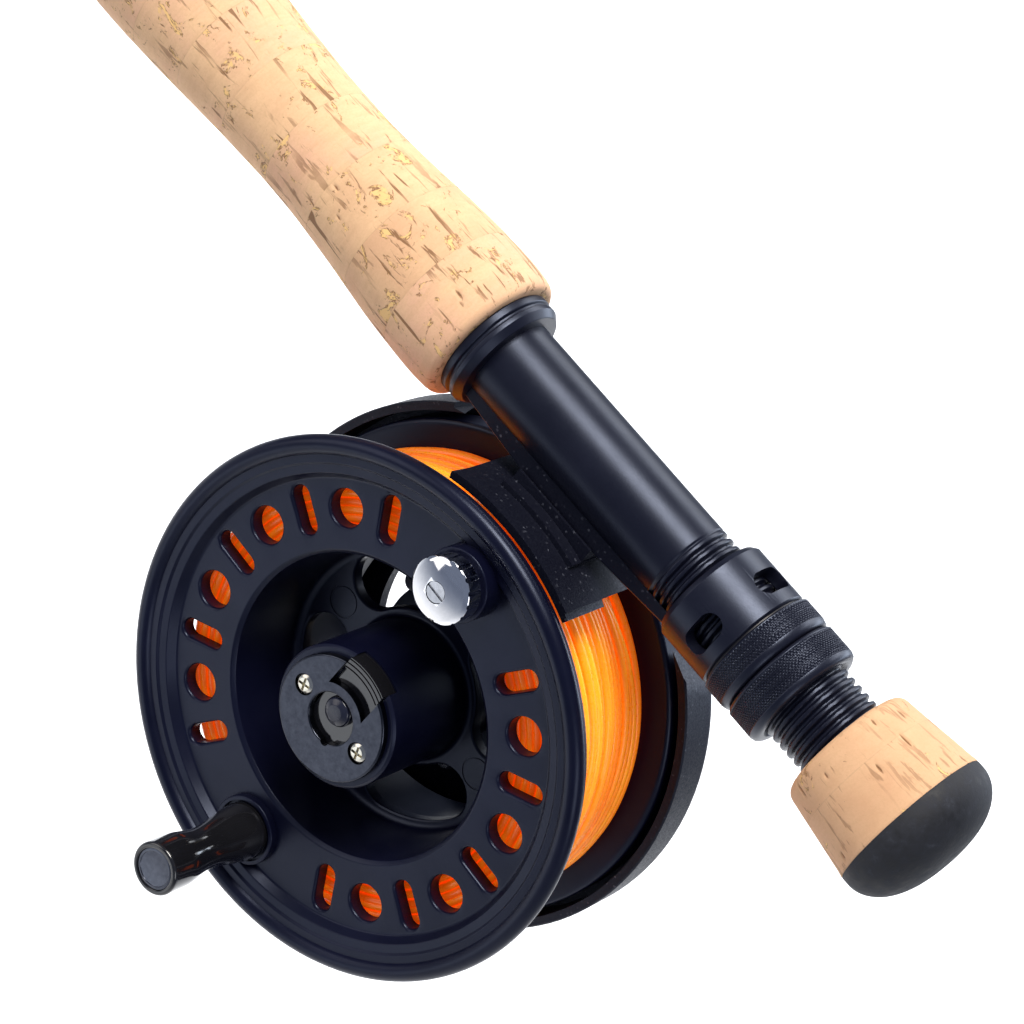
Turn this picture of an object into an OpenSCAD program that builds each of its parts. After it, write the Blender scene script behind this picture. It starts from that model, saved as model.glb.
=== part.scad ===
// Handle end of a fly rod with a large-arbor fly reel on an up-locking screw seat.
// The rod runs along X, with its tip towards -X. The reel hangs below it (-Z), and the
// crank side of the reel faces -Y. The origin is on the rod's axis, at the middle of the grip.

/* [Rod] */
// Length of the cork grip
grip_len = 180; // [160:1:190]
// Number of cork rings glued up to make the grip
grip_rings = 14; // [10:1:15]
// Radius of the grip at its flared ends
grip_end_r = 14.8; // [14.2:0.1:16]
// Radius of the grip at its two waists
grip_waist_r = 12.2; // [11.8:0.1:13]
// Radius of the grip at its middle swell
grip_swell_r = 14.1; // [13:0.1:15]
// Outer radius of the blank under the grip
blank_r = 6.0; // [5.6:0.1:6.4]
// Outer radius of the blank at its tip end
blank_tip_r = 5.3; // [5.0:0.1:5.5]
// Radius of the ferrule spigot where it stands out of the blank
spigot_r = 4.3; // [4.0:0.05:4.5]
// Length of bare blank in front of the grip
blank_front = 90; // [70:1:140]
// Length of spigot that stands out of the blank
spigot_out = 36; // [25:1:45]

/* [Reel seat] */
// Outer radius of the seat tube and of its thread crests
seat_r = 8.7; // [8.5:0.05:9]
// Pitch of the thread on the seat tube
thread_pitch = 1.8; // [1.4:0.1:2]
// Outer radius of the sliding hood
hood_r = 11.2; // [11.1:0.05:11.6]
// Outer radius of the two knurled nuts
nut_r = 11.6; // [11.2:0.05:12]
// Outer radius of the fixed hood's collar
collar_r = 12; // [11.6:0.05:12.4]
// Outer radius of the fighting butt at its cap
butt_r = 15.2; // [14:0.1:16]

/* [Reel] */
// Distance from the end of the grip to the reel's spindle
reel_back = 30; // [30:0.5:32]
// Distance from the rod's axis down to the reel's spindle
reel_drop = 62.8; // [62.7:0.05:63]
// Outer radius of the spool's palming rim
spool_r = 51.5; // [51.3:0.05:51.7]
// Outer radius of the frame's rim
frame_r = 52; // [51.9:0.05:52.2]
// Outer radius of the arbor that the line is wound on
arbor_r = 30.6; // [30.4:0.1:31]
// Outer radius of the wound fly line
line_r = 43.8; // [40:0.1:46]
// Angle that the spool stands at, seen from the crank side
spool_turn = -2.4; // [-180:0.1:180]
// Radius of the circle of holes in the spool's face
hole_circle_r = 37.6; // [37:0.1:38]
// Distance from the spindle out to the crank handle
handle_arm = 38.8; // [38:0.1:39.2]

/* [Hidden] */
$fn = 96;
eps = 0.01;
fit = 0.05;

// Planes across the reel, as heights above the rod's axis plane towards the crank side.
face_n = 19;
rim_front_n = 22.6;
flange_back_n = 16;
rear_flange_n = -12;
skirt_n = -18.6;
floor_n = 2.5;
floor_t = 2.4;
post_top_n = 25;
post_foot_n = -9;
plate_in_n = -20.2;
plate_out_n = -22.6;
frame_front_n = -12.2;
guard_front_n = 17.4;

// Radii inside the reel.
cup_r = 29.2;
post_r = 13.6;
spindle_r = 3;
boss_r = 17.6;
boss_in_r = 15.2;
frame_in_r = 50.2;
guard_r = 51.9;
pedestal_r = 53;

// The reel's own centre on the rod, and the places of the seat's pieces along the rod.
grip_end = grip_len / 2;
reel_x = grip_end + reel_back;
ring_len = grip_len / grip_rings;
seat_start = grip_end - ring_len;
thread_start = reel_x + 24;
butt_start = reel_x + 66;
butt_seam = reel_x + 83.3;
seat_end = reel_x + 76;
blank_end = reel_x + 80;
blank_tip = -grip_end - blank_front;
spigot_root_r = spigot_r - 0.3;
hood_start = reel_x + 30;
hood_len = 12.6;
washer_t = 0.3;
nut_start = hood_start + hood_len + washer_t;
nut_len = 6;
jam_start = nut_start + nut_len + 0.1;
jam_len = 7.2;
thread_depth = 0.75;

// The back plate's five spokes, 72 degrees apart from this one.
spoke_at = 16;

// The drag's cover seat, its screws, the pins that push on the drag, and the click pawl.
cover_seat_n = -12.4;
cover_screw_r = 0.9;
ear_step = 0.2;
pin_r = 1.2;
pawl_pin_r = 1.2;
pawl_y = -21.6;
pawl_turn = -38;

// The foot is a slice of a sleeve round the seat tube.
foot_in_r = seat_r + 0.02;
foot_r = 11.2;
foot_end_r = 9.7;
foot_neck_r = 10.1;
foot_half_w = 7;
foot_tip = -33;
foot_butt = 36;

// ---- Shared shapes ----

// Puts local Z along the rod, towards the butt, with local X pointing down.
module along_rod(x) { translate([x, 0, 0]) rotate([0, 90, 0]) children(); }

// Puts local Z on the spindle, towards the crank side, with local Y pointing up at the rod.
module in_reel() { translate([reel_x, 0, -reel_drop]) rotate([90, 0, 0]) children(); }

module in_spool() { in_reel() rotate([0, 0, spool_turn]) children(); }

module disc(r, z0, z1) { translate([0, 0, z0]) cylinder(h = z1 - z0, r = r); }

module cone(r0, r1, z0, z1) { translate([0, 0, z0]) cylinder(h = z1 - z0, r1 = r0, r2 = r1); }

module tube(r_out, r_in, z0, z1) {
    difference() {
        disc(r_out, z0, z1);
        disc(r_in, z0 - 1, z1 + 1);
    }
}

module slab(x0, x1, y0, y1, z0, z1) {
    translate([x0, y0, z0]) cube([x1 - x0, y1 - y0, z1 - z0]);
}

// A kidney-shaped slot on a circle: mid radius, half width, and the angle of its end centres.
module kidney(mid_r, half_w, half_angle, z0, z1) {
    translate([0, 0, z0]) rotate([0, 0, -half_angle])
        rotate_extrude(angle = 2 * half_angle)
            translate([mid_r - half_w, 0]) square([2 * half_w, z1 - z0]);
    for (side = [-1, 1])
        rotate([0, 0, side * half_angle]) translate([mid_r, 0, 0]) disc(half_w, z0, z1);
}

// Smooth blend from 0 to 1 as t goes from 0 to 1.
function ease(t) = (1 - cos(180 * max(0, min(1, t)))) / 2;
function blend(a, b, t) = a + (b - a) * ease(t);

// One ring of a coil: the points round the wire at a given angle of turn.
function wire_ring(coil_r, wire_r, pitch, angle, sides) = [
    for (i = [0 : sides - 1])
        let (a = 360 * i / sides, r = coil_r + wire_r * cos(a))
            [r * cos(angle), r * sin(angle), pitch * angle / 360 + wire_r * sin(a)]
];

// A coil spring wound up local Z from z = 0.
module coil(coil_r, wire_r, pitch, turns, steps = 12, sides = 6) {
    count = turns * steps;
    points = [for (k = [0 : count]) each wire_ring(coil_r, wire_r, pitch, 360 * k / steps, sides)];
    walls = [for (k = [0 : count - 1], i = [0 : sides - 1])
        let (j = (i + 1) % sides)
            [k * sides + i, (k + 1) * sides + i, (k + 1) * sides + j, k * sides + j]];
    start = [for (i = [0 : sides - 1]) i];
    finish = [for (i = [sides - 1 : -1 : 0]) count * sides + i];
    polyhedron(points = points, faces = concat(walls, [start, finish]), convexity = 8);
}

// ---- Rod ----

module blank() {
    color("#2b2e2c") along_rod(0) difference() {
        union() {
            cone(blank_tip_r, blank_r, blank_tip, -grip_end);
            disc(blank_r, -grip_end, blank_end);
        }
        disc(spigot_root_r, blank_tip - 1, blank_end + 1);
    }
}

// The plug that the next section of the rod slips over, with a shoulder at the blank's end.
module ferrule_spigot() {
    in_len = 34;
    lead_in = 1.5;
    color("#3a3d3b") along_rod(blank_tip) {
        disc(spigot_root_r, -0.1, in_len);
        disc(spigot_r, lead_in - spigot_out, 0);
        cone(spigot_r - 0.8, spigot_r, -spigot_out, lead_in - spigot_out);
    }
}

module ferrule_wrap() {
    wrap_len = 16;
    wrap_r = blank_tip_r + 0.55;
    slope = (blank_r - blank_tip_r) / blank_front;
    color("#23201f") along_rod(blank_tip) difference() {
        union() {
            disc(wrap_r, 1.2, wrap_len - 1.6);
            cone(blank_tip_r + 0.1, wrap_r, 0, 1.2);
            cone(wrap_r, blank_tip_r + 0.25, wrap_len - 1.6, wrap_len);
        }
        cone(blank_tip_r - slope, blank_tip_r + slope * (wrap_len + 1), -1, wrap_len + 1);
    }
}

module winding_check() {
    color("#1d1e22") along_rod(-grip_end) difference() {
        union() {
            disc(8.6, -1.2, 0);
            cone(7.0, 8.4, -4.2, -1.2);
        }
        disc(blank_r + 0.02, -5, 1);
    }
}

// A wire loop that the hook is parked in, with a flat foot at each end under a thread wrap.
keeper_x = -grip_end - 20;
keeper_loop_r = 4.4;
keeper_wire_r = 0.55;

module hook_keeper() {
    seat_z = -(blank_r + keeper_wire_r);
    color("silver") translate([keeper_x, 0, seat_z]) {
        rotate([90, 0, 0]) rotate_extrude(angle = 180, start = 180)
            translate([keeper_loop_r, 0]) circle(r = keeper_wire_r);
        for (side = [-1, 1])
            translate([side * keeper_loop_r, 0, 0]) {
                sphere(r = keeper_wire_r);
                rotate([0, side * 90, 0]) cylinder(h = 5, r = keeper_wire_r);
            }
    }
}

module keeper_wraps() {
    half_len = 3.5;
    wrap_r = blank_r + 1.3;
    slot_w = keeper_wire_r + 0.03;
    color("#23201f") for (side = [-1, 1]) {
        mid_x = keeper_x + side * (keeper_loop_r + 1.2 + half_len);
        difference() {
            along_rod(mid_x) rotate_extrude() polygon([
                [blank_r, -half_len], [blank_r + 0.2, -half_len], [wrap_r, 1 - half_len],
                [wrap_r, half_len - 1], [blank_r + 0.2, half_len], [blank_r, half_len]]);
            slab(mid_x - half_len - 1, mid_x + half_len + 1, -slot_w, slot_w,
                 -blank_r - keeper_wire_r - slot_w, -2);
        }
    }
}

// Radius of the grip at a place along the rod: a full-wells shape with two waists.
function grip_r(x) =
    let (from_butt = grip_end - x, from_tip = grip_end + x)
    from_butt < 6 ? blend(grip_end_r - 0.3, grip_end_r, from_butt / 6) :
    from_butt < 50 ? blend(grip_end_r, grip_waist_r, (from_butt - 6) / 44) :
    from_butt < 100 ? blend(grip_waist_r, grip_swell_r, (from_butt - 50) / 50) :
    from_tip > 30 ? blend(grip_waist_r - 0.6, grip_swell_r, (from_tip - 30) / (grip_len - 130)) :
    from_tip > 7 ? blend(grip_end_r - 1.6, grip_waist_r - 0.6, (from_tip - 7) / 23) :
    grip_end_r - 1.6;

// One ring's outline as [radius, place], with its corners eased where it is an end ring.
function ring_outline(x0, x1, steps) = [
    for (k = [0 : steps]) let (x = x0 + (x1 - x0) * k / steps) [grip_r(x), x]
];

module cork_grip() {
    end_round = 2.6;
    glue_t = 0.03;
    color("#dcb27c") for (k = [0 : grip_rings - 1]) {
        x0 = -grip_end + k * ring_len;
        x1 = x0 + ring_len - glue_t;
        last = k == grip_rings - 1;
        along_rod(0) difference() {
            intersection() {
                rotate_extrude() polygon(concat([[0, x0]], ring_outline(x0, x1, 6), [[0, x1]]));
                if (last) union() {
                    disc(grip_end_r + 2, x0, x1 - end_round);
                    rotate_extrude() union() {
                        translate([0, x1 - end_round - eps])
                            square([grip_end_r - end_round, end_round + eps]);
                        translate([grip_end_r - end_round, x1 - end_round]) circle(r = end_round);
                    }
                }
                else disc(grip_end_r + 2, x0, x1);
            }
            disc(last ? collar_r - 1 : blank_r, x0 - 1, x1 + 1);
            if (k == 0) tube(grip_end_r + 3, grip_end_r - 3.4, x0 - 1, x0 + 0.8);
        }
    }
}

// ---- Reel seat ----

// Saw-tooth outline of the thread: crests at the seat's radius, roots below it.
function thread_outline(x0, x1) = [
    for (x = [x0 : thread_pitch : x1 - thread_pitch])
        each [
            [seat_r, x],
            [seat_r - thread_depth, x + 0.4 * thread_pitch],
            [seat_r - thread_depth, x + 0.5 * thread_pitch],
            [seat_r, x + 0.9 * thread_pitch]
        ]
];

module seat_tube() {
    bore_r = 7.3;
    color("#1b1c20") along_rod(0) rotate_extrude() polygon(concat(
        [[bore_r, seat_start], [seat_r, seat_start]],
        thread_outline(thread_start, butt_start + 1.5),
        [[seat_r, butt_start + 1.5], [seat_r, seat_end], [bore_r, seat_end]]));
}

module seat_bushings() {
    bush_len = 14;
    color("#c9a56e") for (x = [seat_start + 4, reel_x + 4, seat_end - 6 - bush_len])
        along_rod(0) tube(7.3, blank_r, x, x + bush_len);
}

// The foot's pocket: a slice of a wider bore on the reel's side of the seat tube.
module foot_pocket(r, half_w, x0, x1) {
    intersection() {
        along_rod(0) disc(r, x0, x1);
        slab(x0 - 1, x1 + 1, -half_w, half_w, -r - 1, -2);
    }
}

module fixed_hood() {
    color("#1b1c20") difference() {
        along_rod(reel_x) rotate_extrude() polygon([
            [seat_r, seat_start - reel_x], [collar_r - 1, seat_start - reel_x],
            [collar_r - 1, -reel_back], [collar_r, -reel_back],
            [collar_r, 1.6 - reel_back], [collar_r - 0.5, 1.8 - reel_back],
            [collar_r - 0.5, 2.2 - reel_back], [collar_r - 0.15, 2.4 - reel_back],
            [collar_r - 0.15, 3.4 - reel_back], [collar_r - 1.1, 4.8 - reel_back],
            [seat_r, 4.8 - reel_back]]);
        foot_pocket(foot_neck_r + 0.2, foot_half_w + 0.15, reel_x + foot_tip - 0.4, reel_x);
    }
}

// Length along the rod, and arc, of each oval window in the sliding hood.
hood_slot_w = 4.6;
hood_slot_arc = 22;

module sliding_hood() {
    slot_x = 7.6;
    color("#1d1e22") difference() {
        along_rod(hood_start) union() {
            disc(hood_r, 1, hood_len - 0.4);
            cone(hood_r - 0.7, hood_r, 0, 1);
            cone(hood_r, hood_r - 0.4, hood_len - 0.4, hood_len);
        }
        along_rod(0) disc(seat_r + 0.08, hood_start - 1, hood_start + hood_len + 1);
        foot_pocket(foot_neck_r + 0.35, foot_half_w + 0.3, hood_start - 1, reel_x + foot_butt + 0.6);
        along_rod(hood_start + slot_x) for (at = [0, 90, 180]) rotate([0, 0, at + 90]) {
            rotate([0, 0, -hood_slot_arc / 2]) rotate_extrude(angle = hood_slot_arc)
                translate([seat_r - 0.5, -hood_slot_w / 2]) square([4, hood_slot_w]);
            for (side = [-1, 1]) rotate([0, 0, side * hood_slot_arc / 2]) rotate([0, 90, 0])
                disc(hood_slot_w / 2, seat_r - 0.5, seat_r + 3.5);
        }
    }
}

module slip_washer() {
    color("#d8d4c6") along_rod(hood_start + hood_len) tube(hood_r - 0.6, seat_r + 0.08, 0, washer_t);
}

module nut_blank(r, len, front, back) {
    difference() {
        union() {
            disc(r, front, len - back);
            cone(r - 0.9, r, 0, front);
            cone(r, r - 0.9, len - back, len);
        }
        disc(seat_r + 0.08, -1, len + 1);
        cone(seat_r, seat_r + 0.9, len - 0.8, len + eps);
    }
}

module lock_nut() { color("#1d1e22") along_rod(nut_start) nut_blank(nut_r, nut_len, 0.4, 1.2); }

module jam_nut() { color("#1d1e22") along_rod(jam_start) nut_blank(nut_r - 0.1, jam_len, 0.7, 1.3); }

module butt_cork() {
    front_r = 13.0;
    round_r = 2.2;
    color("#dcb27c") along_rod(0) difference() {
        union() {
            cone(front_r, butt_r, butt_start + round_r, butt_seam);
            rotate_extrude() union() {
                translate([0, butt_start]) square([front_r - round_r, round_r + eps]);
                translate([front_r - round_r, butt_start + round_r]) circle(r = round_r);
            }
        }
        disc(seat_r, butt_start - 1, seat_end);
        disc(blank_r, seat_end - 1, blank_end);
    }
}

module butt_cap() {
    cap_len = 9.6;
    edge_len = 1.4;
    steps = 12;
    color("#17181b") along_rod(butt_seam) rotate_extrude() polygon(concat(
        [[0, 0], [butt_r, 0], [butt_r, edge_len]],
        [for (k = [1 : steps - 1]) let (a = 90 * k / steps)
            [butt_r * pow(cos(a), 0.8), edge_len + (cap_len - edge_len) * sin(a)]],
        [[0, cap_len]]));
}

// ---- Reel frame and foot ----

foot_screw_x = [-4, 8];

// A plane cut that bevels one end of the line guard: its side, and its place along the guard.
module guard_bevel(side, edge_x, edge_y) {
    translate([edge_x, edge_y, 0]) rotate([0, 0, -side * 22.5]) rotate([-5.4, 0, 0])
        translate([side > 0 ? -2 : -20, 0, -30]) cube([22, 12, 60]);
}

module frame_guard() {
    guard_in_r = frame_in_r + 0.1;
    guard_from = 67.6;
    guard_to = 106.2;
    pedestal_from = 77;
    pedestal_to = 98.8;
    rotate([0, 0, guard_from]) rotate_extrude(angle = guard_to - guard_from)
        translate([guard_in_r, frame_front_n - 1])
            square([guard_r - guard_in_r, guard_front_n - frame_front_n + 1]);
    rotate([0, 0, pedestal_from]) rotate_extrude(angle = pedestal_to - pedestal_from)
        translate([guard_in_r + 0.3, frame_front_n + 0.4])
            square([pedestal_r - guard_in_r - 0.3, 11 - frame_front_n - 0.4]);
    slab(-8, 11.8, guard_in_r + 0.5, reel_drop - 8.2, -8.2, 8.2);
}

// The four ears and screws of the drag's cover, or their holes; the fifth spoke has the pawl.
module cover_holes(r, z0, z1) {
    for (k = [0, 1, 2, 4]) rotate([0, 0, spoke_at + 72 * k]) translate([boss_r + 0.8, 0, 0])
        rotate([0, 0, 90]) disc(r, z0, z1);
}

// The three pins that carry the drag knob's push through the frame, or their holes.
module push_pins(r, z0, z1) {
    for (k = [0 : 2]) rotate([0, 0, 90 + 120 * k]) translate([10.5, 0, 0]) disc(r, z0, z1);
}

module frame_windows() {
    for (k = [0 : 4]) rotate([0, 0, spoke_at + 36 + 72 * k])
        kidney(21.8, 3.6, 19, plate_out_n - 2, plate_in_n + 1);
    for (k = [0 : 11]) rotate([0, 0, 30 * k]) translate([39, 0, 0])
        disc(k % 2 == 0 ? 4.6 : 3.2, plate_out_n - 2, plate_in_n + 1);
}

// The frame's dish: its back plate, rounded rim, wall and the seat of the drag.
module frame_dish() {
    rim_round = 2.4;
    rotate_extrude() union() {
        difference() {
            union() {
                translate([0, plate_out_n]) square([frame_r - rim_round, plate_in_n - plate_out_n]);
                translate([frame_r - rim_round, plate_out_n + rim_round]) circle(r = rim_round);
            }
            translate([-1, plate_in_n]) square([frame_in_r + 1, 10]);
        }
        polygon([
            [frame_in_r, plate_in_n], [frame_r, plate_in_n], [frame_r, frame_front_n - 0.3],
            [frame_r - 0.3, frame_front_n], [frame_in_r, frame_front_n]]);
        translate([boss_in_r, plate_in_n - 1]) square([boss_r - boss_in_r, cover_seat_n - plate_in_n + 1]);
        translate([0, plate_out_n - 1.2]) square([16.6, 2]);
    }
}

module reel_frame() {
    color("#1a1b20") in_reel() difference() {
        union() {
            frame_dish();
            cover_holes(2.2, plate_in_n - 1, cover_seat_n - ear_step);
            frame_guard();
        }
        frame_windows();
        disc(spindle_r, -40, 0);
        push_pins(pin_r + fit, -40, 0);
        cover_holes(cover_screw_r, -18, 0);
        rotate([0, 0, pawl_turn]) translate([0, pawl_y, 0]) disc(pawl_pin_r, -40, -18);
        translate([0, reel_drop, 0]) rotate([0, 90, 0]) disc(foot_r + 0.01, -30, 30);
        guard_bevel(-1, -14.9, 47.6);
        guard_bevel(1, 19.6, 45.9);
        for (x = foot_screw_x) translate([x, 0, 0]) rotate([-90, 0, 0]) disc(1.5, 40, 60);
    }
}

module reel_foot() {
    color("#1c1d22") difference() {
        intersection() {
            along_rod(reel_x) rotate_extrude() polygon([
                [foot_in_r, foot_tip], [foot_end_r, foot_tip], [foot_neck_r, -25], [foot_r, -9],
                [foot_r, 13], [foot_neck_r, 29.6], [foot_end_r, foot_butt], [foot_in_r, foot_butt]]);
            translate([reel_x, 0, -20]) linear_extrude(height = 20) union() {
                translate([foot_tip + foot_half_w, -foot_half_w])
                    square([foot_butt - foot_tip - 2 * foot_half_w, 2 * foot_half_w]);
                translate([foot_tip + foot_half_w, 0]) circle(r = foot_half_w);
                translate([foot_butt - foot_half_w, 0]) circle(r = foot_half_w);
            }
        }
        in_reel() for (x = foot_screw_x) translate([x, 0, 0]) rotate([-90, 0, 0])
            disc(1.5, 40, 60);
    }
}

// Screws up through the line guard into the foot.
module foot_screws() {
    color("#8f9298") in_reel() for (x = foot_screw_x) translate([x, 0, 0]) rotate([-90, 0, 0])
        disc(1.5, sqrt(pow(frame_in_r + 0.2, 2) - x * x), reel_drop - foot_in_r - 0.2);
}

// ---- Spindle and drag ----

// Height of the latch's underside, how far it slides, and where its lower end rests.
latch_n = 22.3;
latch_travel = 1.5;
latch_foot = -5.9;
spring_foot = -11.1;
groove_r = 2.2;

module spindle() {
    color("#b9bcc2") in_reel() {
        disc(spindle_r, -34.6, latch_n - 0.1);
        disc(groove_r, latch_n - 0.1 - eps, latch_n + 1.3);
        disc(spindle_r, latch_n + 1.3, latch_n + 1.9);
        tube(6.4, spindle_r, plate_in_n, -19.3);
    }
}

module spindle_nut() {
    color("#a9acb2") in_reel() difference() {
        translate([0, 0, plate_out_n - 1.2 - 2.6]) cylinder(h = 2.6, r = 5.4, $fn = 6);
        disc(spindle_r, -40, 0);
    }
}

drag_r = 14.9;

module pressure_plate() { color("#9ea2a8") in_reel() tube(drag_r, 8.8, -19.2, -17.9); }

module drag_washers() {
    color("#b98b58") in_reel() {
        tube(drag_r - 0.1, 8.8, -17.88, -17.1);
        tube(drag_r - 0.1, 8.8, -15.1, -14.32);
    }
}

module drag_disc() {
    color("#c2c5ca") in_reel() union() {
        tube(drag_r - 0.2, 7.6, -17.08, -15.12);
        tube(8.4, 7.6, -18.6, -12.9);
    }
}

module one_way_clutch() { color("#d5d7da") in_reel() tube(7.6, 5.0, -18.4, -13.1); }

module drag_cover() {
    cover_top = cover_seat_n + 1;
    color("#2a2c31") in_reel() difference() {
        union() {
            disc(boss_r, cover_seat_n, cover_top);
            disc(boss_in_r - 0.02, -14.3, cover_seat_n + 0.1);
            cover_holes(2.2, cover_seat_n, cover_top);
        }
        disc(8.8, -16, 0);
        cover_holes(cover_screw_r, -16, 0);
    }
}

module cover_screws() {
    color("#b9bcc2") in_reel() {
        cover_holes(cover_screw_r, -17.4, cover_seat_n + 1);
        cover_holes(1.7, cover_seat_n + 1, cover_seat_n + 1.7);
    }
}

hub_hex_r = 9;

module drive_hub() {
    color("#c9a24a") in_spool() difference() {
        union() {
            disc(4.95, -18.6, -9.2);
            translate([0, 0, post_foot_n + 0.2]) cylinder(h = 5.6, r = hub_hex_r, $fn = 6);
            disc(7, -10.8, post_foot_n + 0.3);
        }
        disc(spindle_r + fit, -30, 0);
    }
}

click_gear_r = 12.2;
click_teeth = 24;

module click_gear() {
    color("#b9bcc2") in_spool() difference() {
        disc(click_gear_r, -10.6, -9.3);
        disc(7, -12, -8);
        for (k = [0 : click_teeth - 1])
            rotate([0, 0, pawl_turn - 90 - spool_turn + 360 * k / click_teeth])
                translate([click_gear_r + 0.35, 0, 0]) disc(1.15, -12, -8);
    }
}

// Puts local Z on the pawl's pin, with local Y pointing in at the spindle.
module at_pawl() { in_reel() rotate([0, 0, pawl_turn]) translate([0, pawl_y, 0]) children(); }

module pawl_post() {
    color("#b9bcc2") at_pawl() {
        disc(pawl_pin_r, plate_out_n, -9.0);
        tube(clip_r, pawl_pin_r, plate_in_n, -10.8);
    }
}

pawl_n = -10.7;
pawl_t = 1.5;

module click_pawl() {
    color("#c9a24a") at_pawl() difference() {
        union() {
            disc(2.6, pawl_n, pawl_n + pawl_t);
            translate([0, 0, pawl_n]) linear_extrude(height = pawl_t)
                polygon([[-1.5, 0], [1.5, 0], [1.2, 7.2], [0.35, 9.1], [-0.35, 9.1], [-1.2, 7.2]]);
        }
        disc(pawl_pin_r + fit, -12, -8);
    }
}

// A sheet-metal clip on the post's collar, with a leaf that stands up on each side of the pawl.
clip_r = 2.4;

module pawl_spring() {
    leaf_x = 2.15;
    sheet_t = 0.3;
    clip_top = -10.9;
    clip_foot = -11.3;
    color("#d5d7da") at_pawl() {
        tube(clip_r + 0.4, clip_r, clip_foot - 0.2, clip_top + 0.1);
        for (side = [-1, 1]) mirror([side < 0 ? 1 : 0, 0, 0]) {
            slab(clip_r + 0.05, clip_r + 0.05 + sheet_t, -1.0, 5.4, clip_foot, clip_top);
            slab(leaf_x, clip_r + 0.05 + sheet_t, 5.1, 5.1 + sheet_t, clip_foot, clip_top);
            slab(leaf_x, leaf_x + sheet_t, 5.1, 6.4, clip_foot, pawl_n + pawl_t);
        }
    }
}

spider_n = -26.6;

module push_spider() {
    color("#9ea2a8") in_reel() {
        tube(13.2, 7.0, spider_n - 1.4, spider_n);
        push_pins(pin_r, spider_n - 0.2, -19.3);
    }
}

// Two dished washers that carry the knob's push to the spider.
module drag_springs() {
    color("#c2c5ca") in_reel() for (z = [0, 1.0])
        rotate_extrude() polygon([
            [7.4, spider_n - 2.4 - z], [7.4, spider_n - 2.8 - z],
            [12.4, spider_n - 1.9 - z], [12.4, spider_n - 1.5 - z]]);
}

knob_back_n = -37;

module drag_knob() {
    knob_r = 16.2;
    color("#1d1e22") in_reel() difference() {
        union() {
            disc(knob_r, knob_back_n + 1.2, -24.3);
            cone(knob_r - 1.2, knob_r, knob_back_n, knob_back_n + 1.2);
        }
        disc(14.4, -31.4, -20);
        disc(spindle_r + fit, -60, 0);
        disc(6.6, knob_back_n - 1, -34.5);
        for (k = [0 : 11]) rotate([0, 0, 30 * k]) translate([knob_r + 1.4, 0, 0])
            disc(2.6, knob_back_n - 1, -27);
    }
}

module knob_clip() {
    color("#8f9298") in_reel() translate([0, 0, -34.6]) difference() {
        disc(6, -0.9, 0);
        disc(1, -1.3, -0.5);
    }
}

// ---- Spool ----

window_mid_r = 20.6;
bush_r = 5.5;

module spool_rim() {
    rotate_extrude() union() {
        translate([spool_r - 1.9, rim_front_n - 1.9]) circle(r = 1.9);
        polygon([
            [arbor_r - 1.5, flange_back_n], [49.0, flange_back_n], [49.0, 18.0], [50.4, 18.0],
            [50.4, 20.6], [48.6, 21.4], [46.4, 21.4], [46.0, 21.0], [44.4, 20.8],
            [43.2, face_n], [arbor_r - 1.5, face_n]]);
    }
}

module spool_drum() {
    rotate_extrude() union() {
        polygon([
            [arbor_r, rear_flange_n], [arbor_r, face_n - 1], [cup_r + 0.5, face_n],
            [cup_r, face_n - 0.5], [27.6, floor_n], [27.6, skirt_n + 4.4],
            [48.0, skirt_n + 4.4], [48.0, rear_flange_n - 0.8], [47.4, rear_flange_n]]);
        translate([46.4, skirt_n]) square([2.2, 5.6]);
        translate([47.5, rear_flange_n - 1.1]) circle(r = 1.1);
        translate([post_r - 1, floor_n - floor_t]) square([28 - post_r + 1, floor_t]);
    }
}

module face_hole(long, r) {
    translate([hole_circle_r - long / 2, 0, 0]) {
        disc(r, flange_back_n - 1, face_n + 1);
        cone(r, r + 0.6, face_n - 0.5, face_n + 0.1);
    }
    if (long > 0) {
        translate([hole_circle_r + long / 2, 0, 0]) {
            disc(r, flange_back_n - 1, face_n + 1);
            cone(r, r + 0.6, face_n - 0.5, face_n + 0.1);
        }
        slab(hole_circle_r - long / 2, hole_circle_r + long / 2, -r, r,
             flange_back_n - 1, face_n + 1);
        slab(hole_circle_r - long / 2, hole_circle_r + long / 2, -r - 0.3, r + 0.3,
             face_n - 0.3, face_n + 1);
    }
}

// Nine holes on each side of the face, slots and round holes in turn, every 15 degrees.
module face_holes() {
    for (side = [0, 180], k = [-4 : 4]) rotate([0, 0, side + 15 * k])
        if (k % 2 == 0) face_hole(5.6, 1.9);
        else face_hole(0, 3.6);
}

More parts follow.
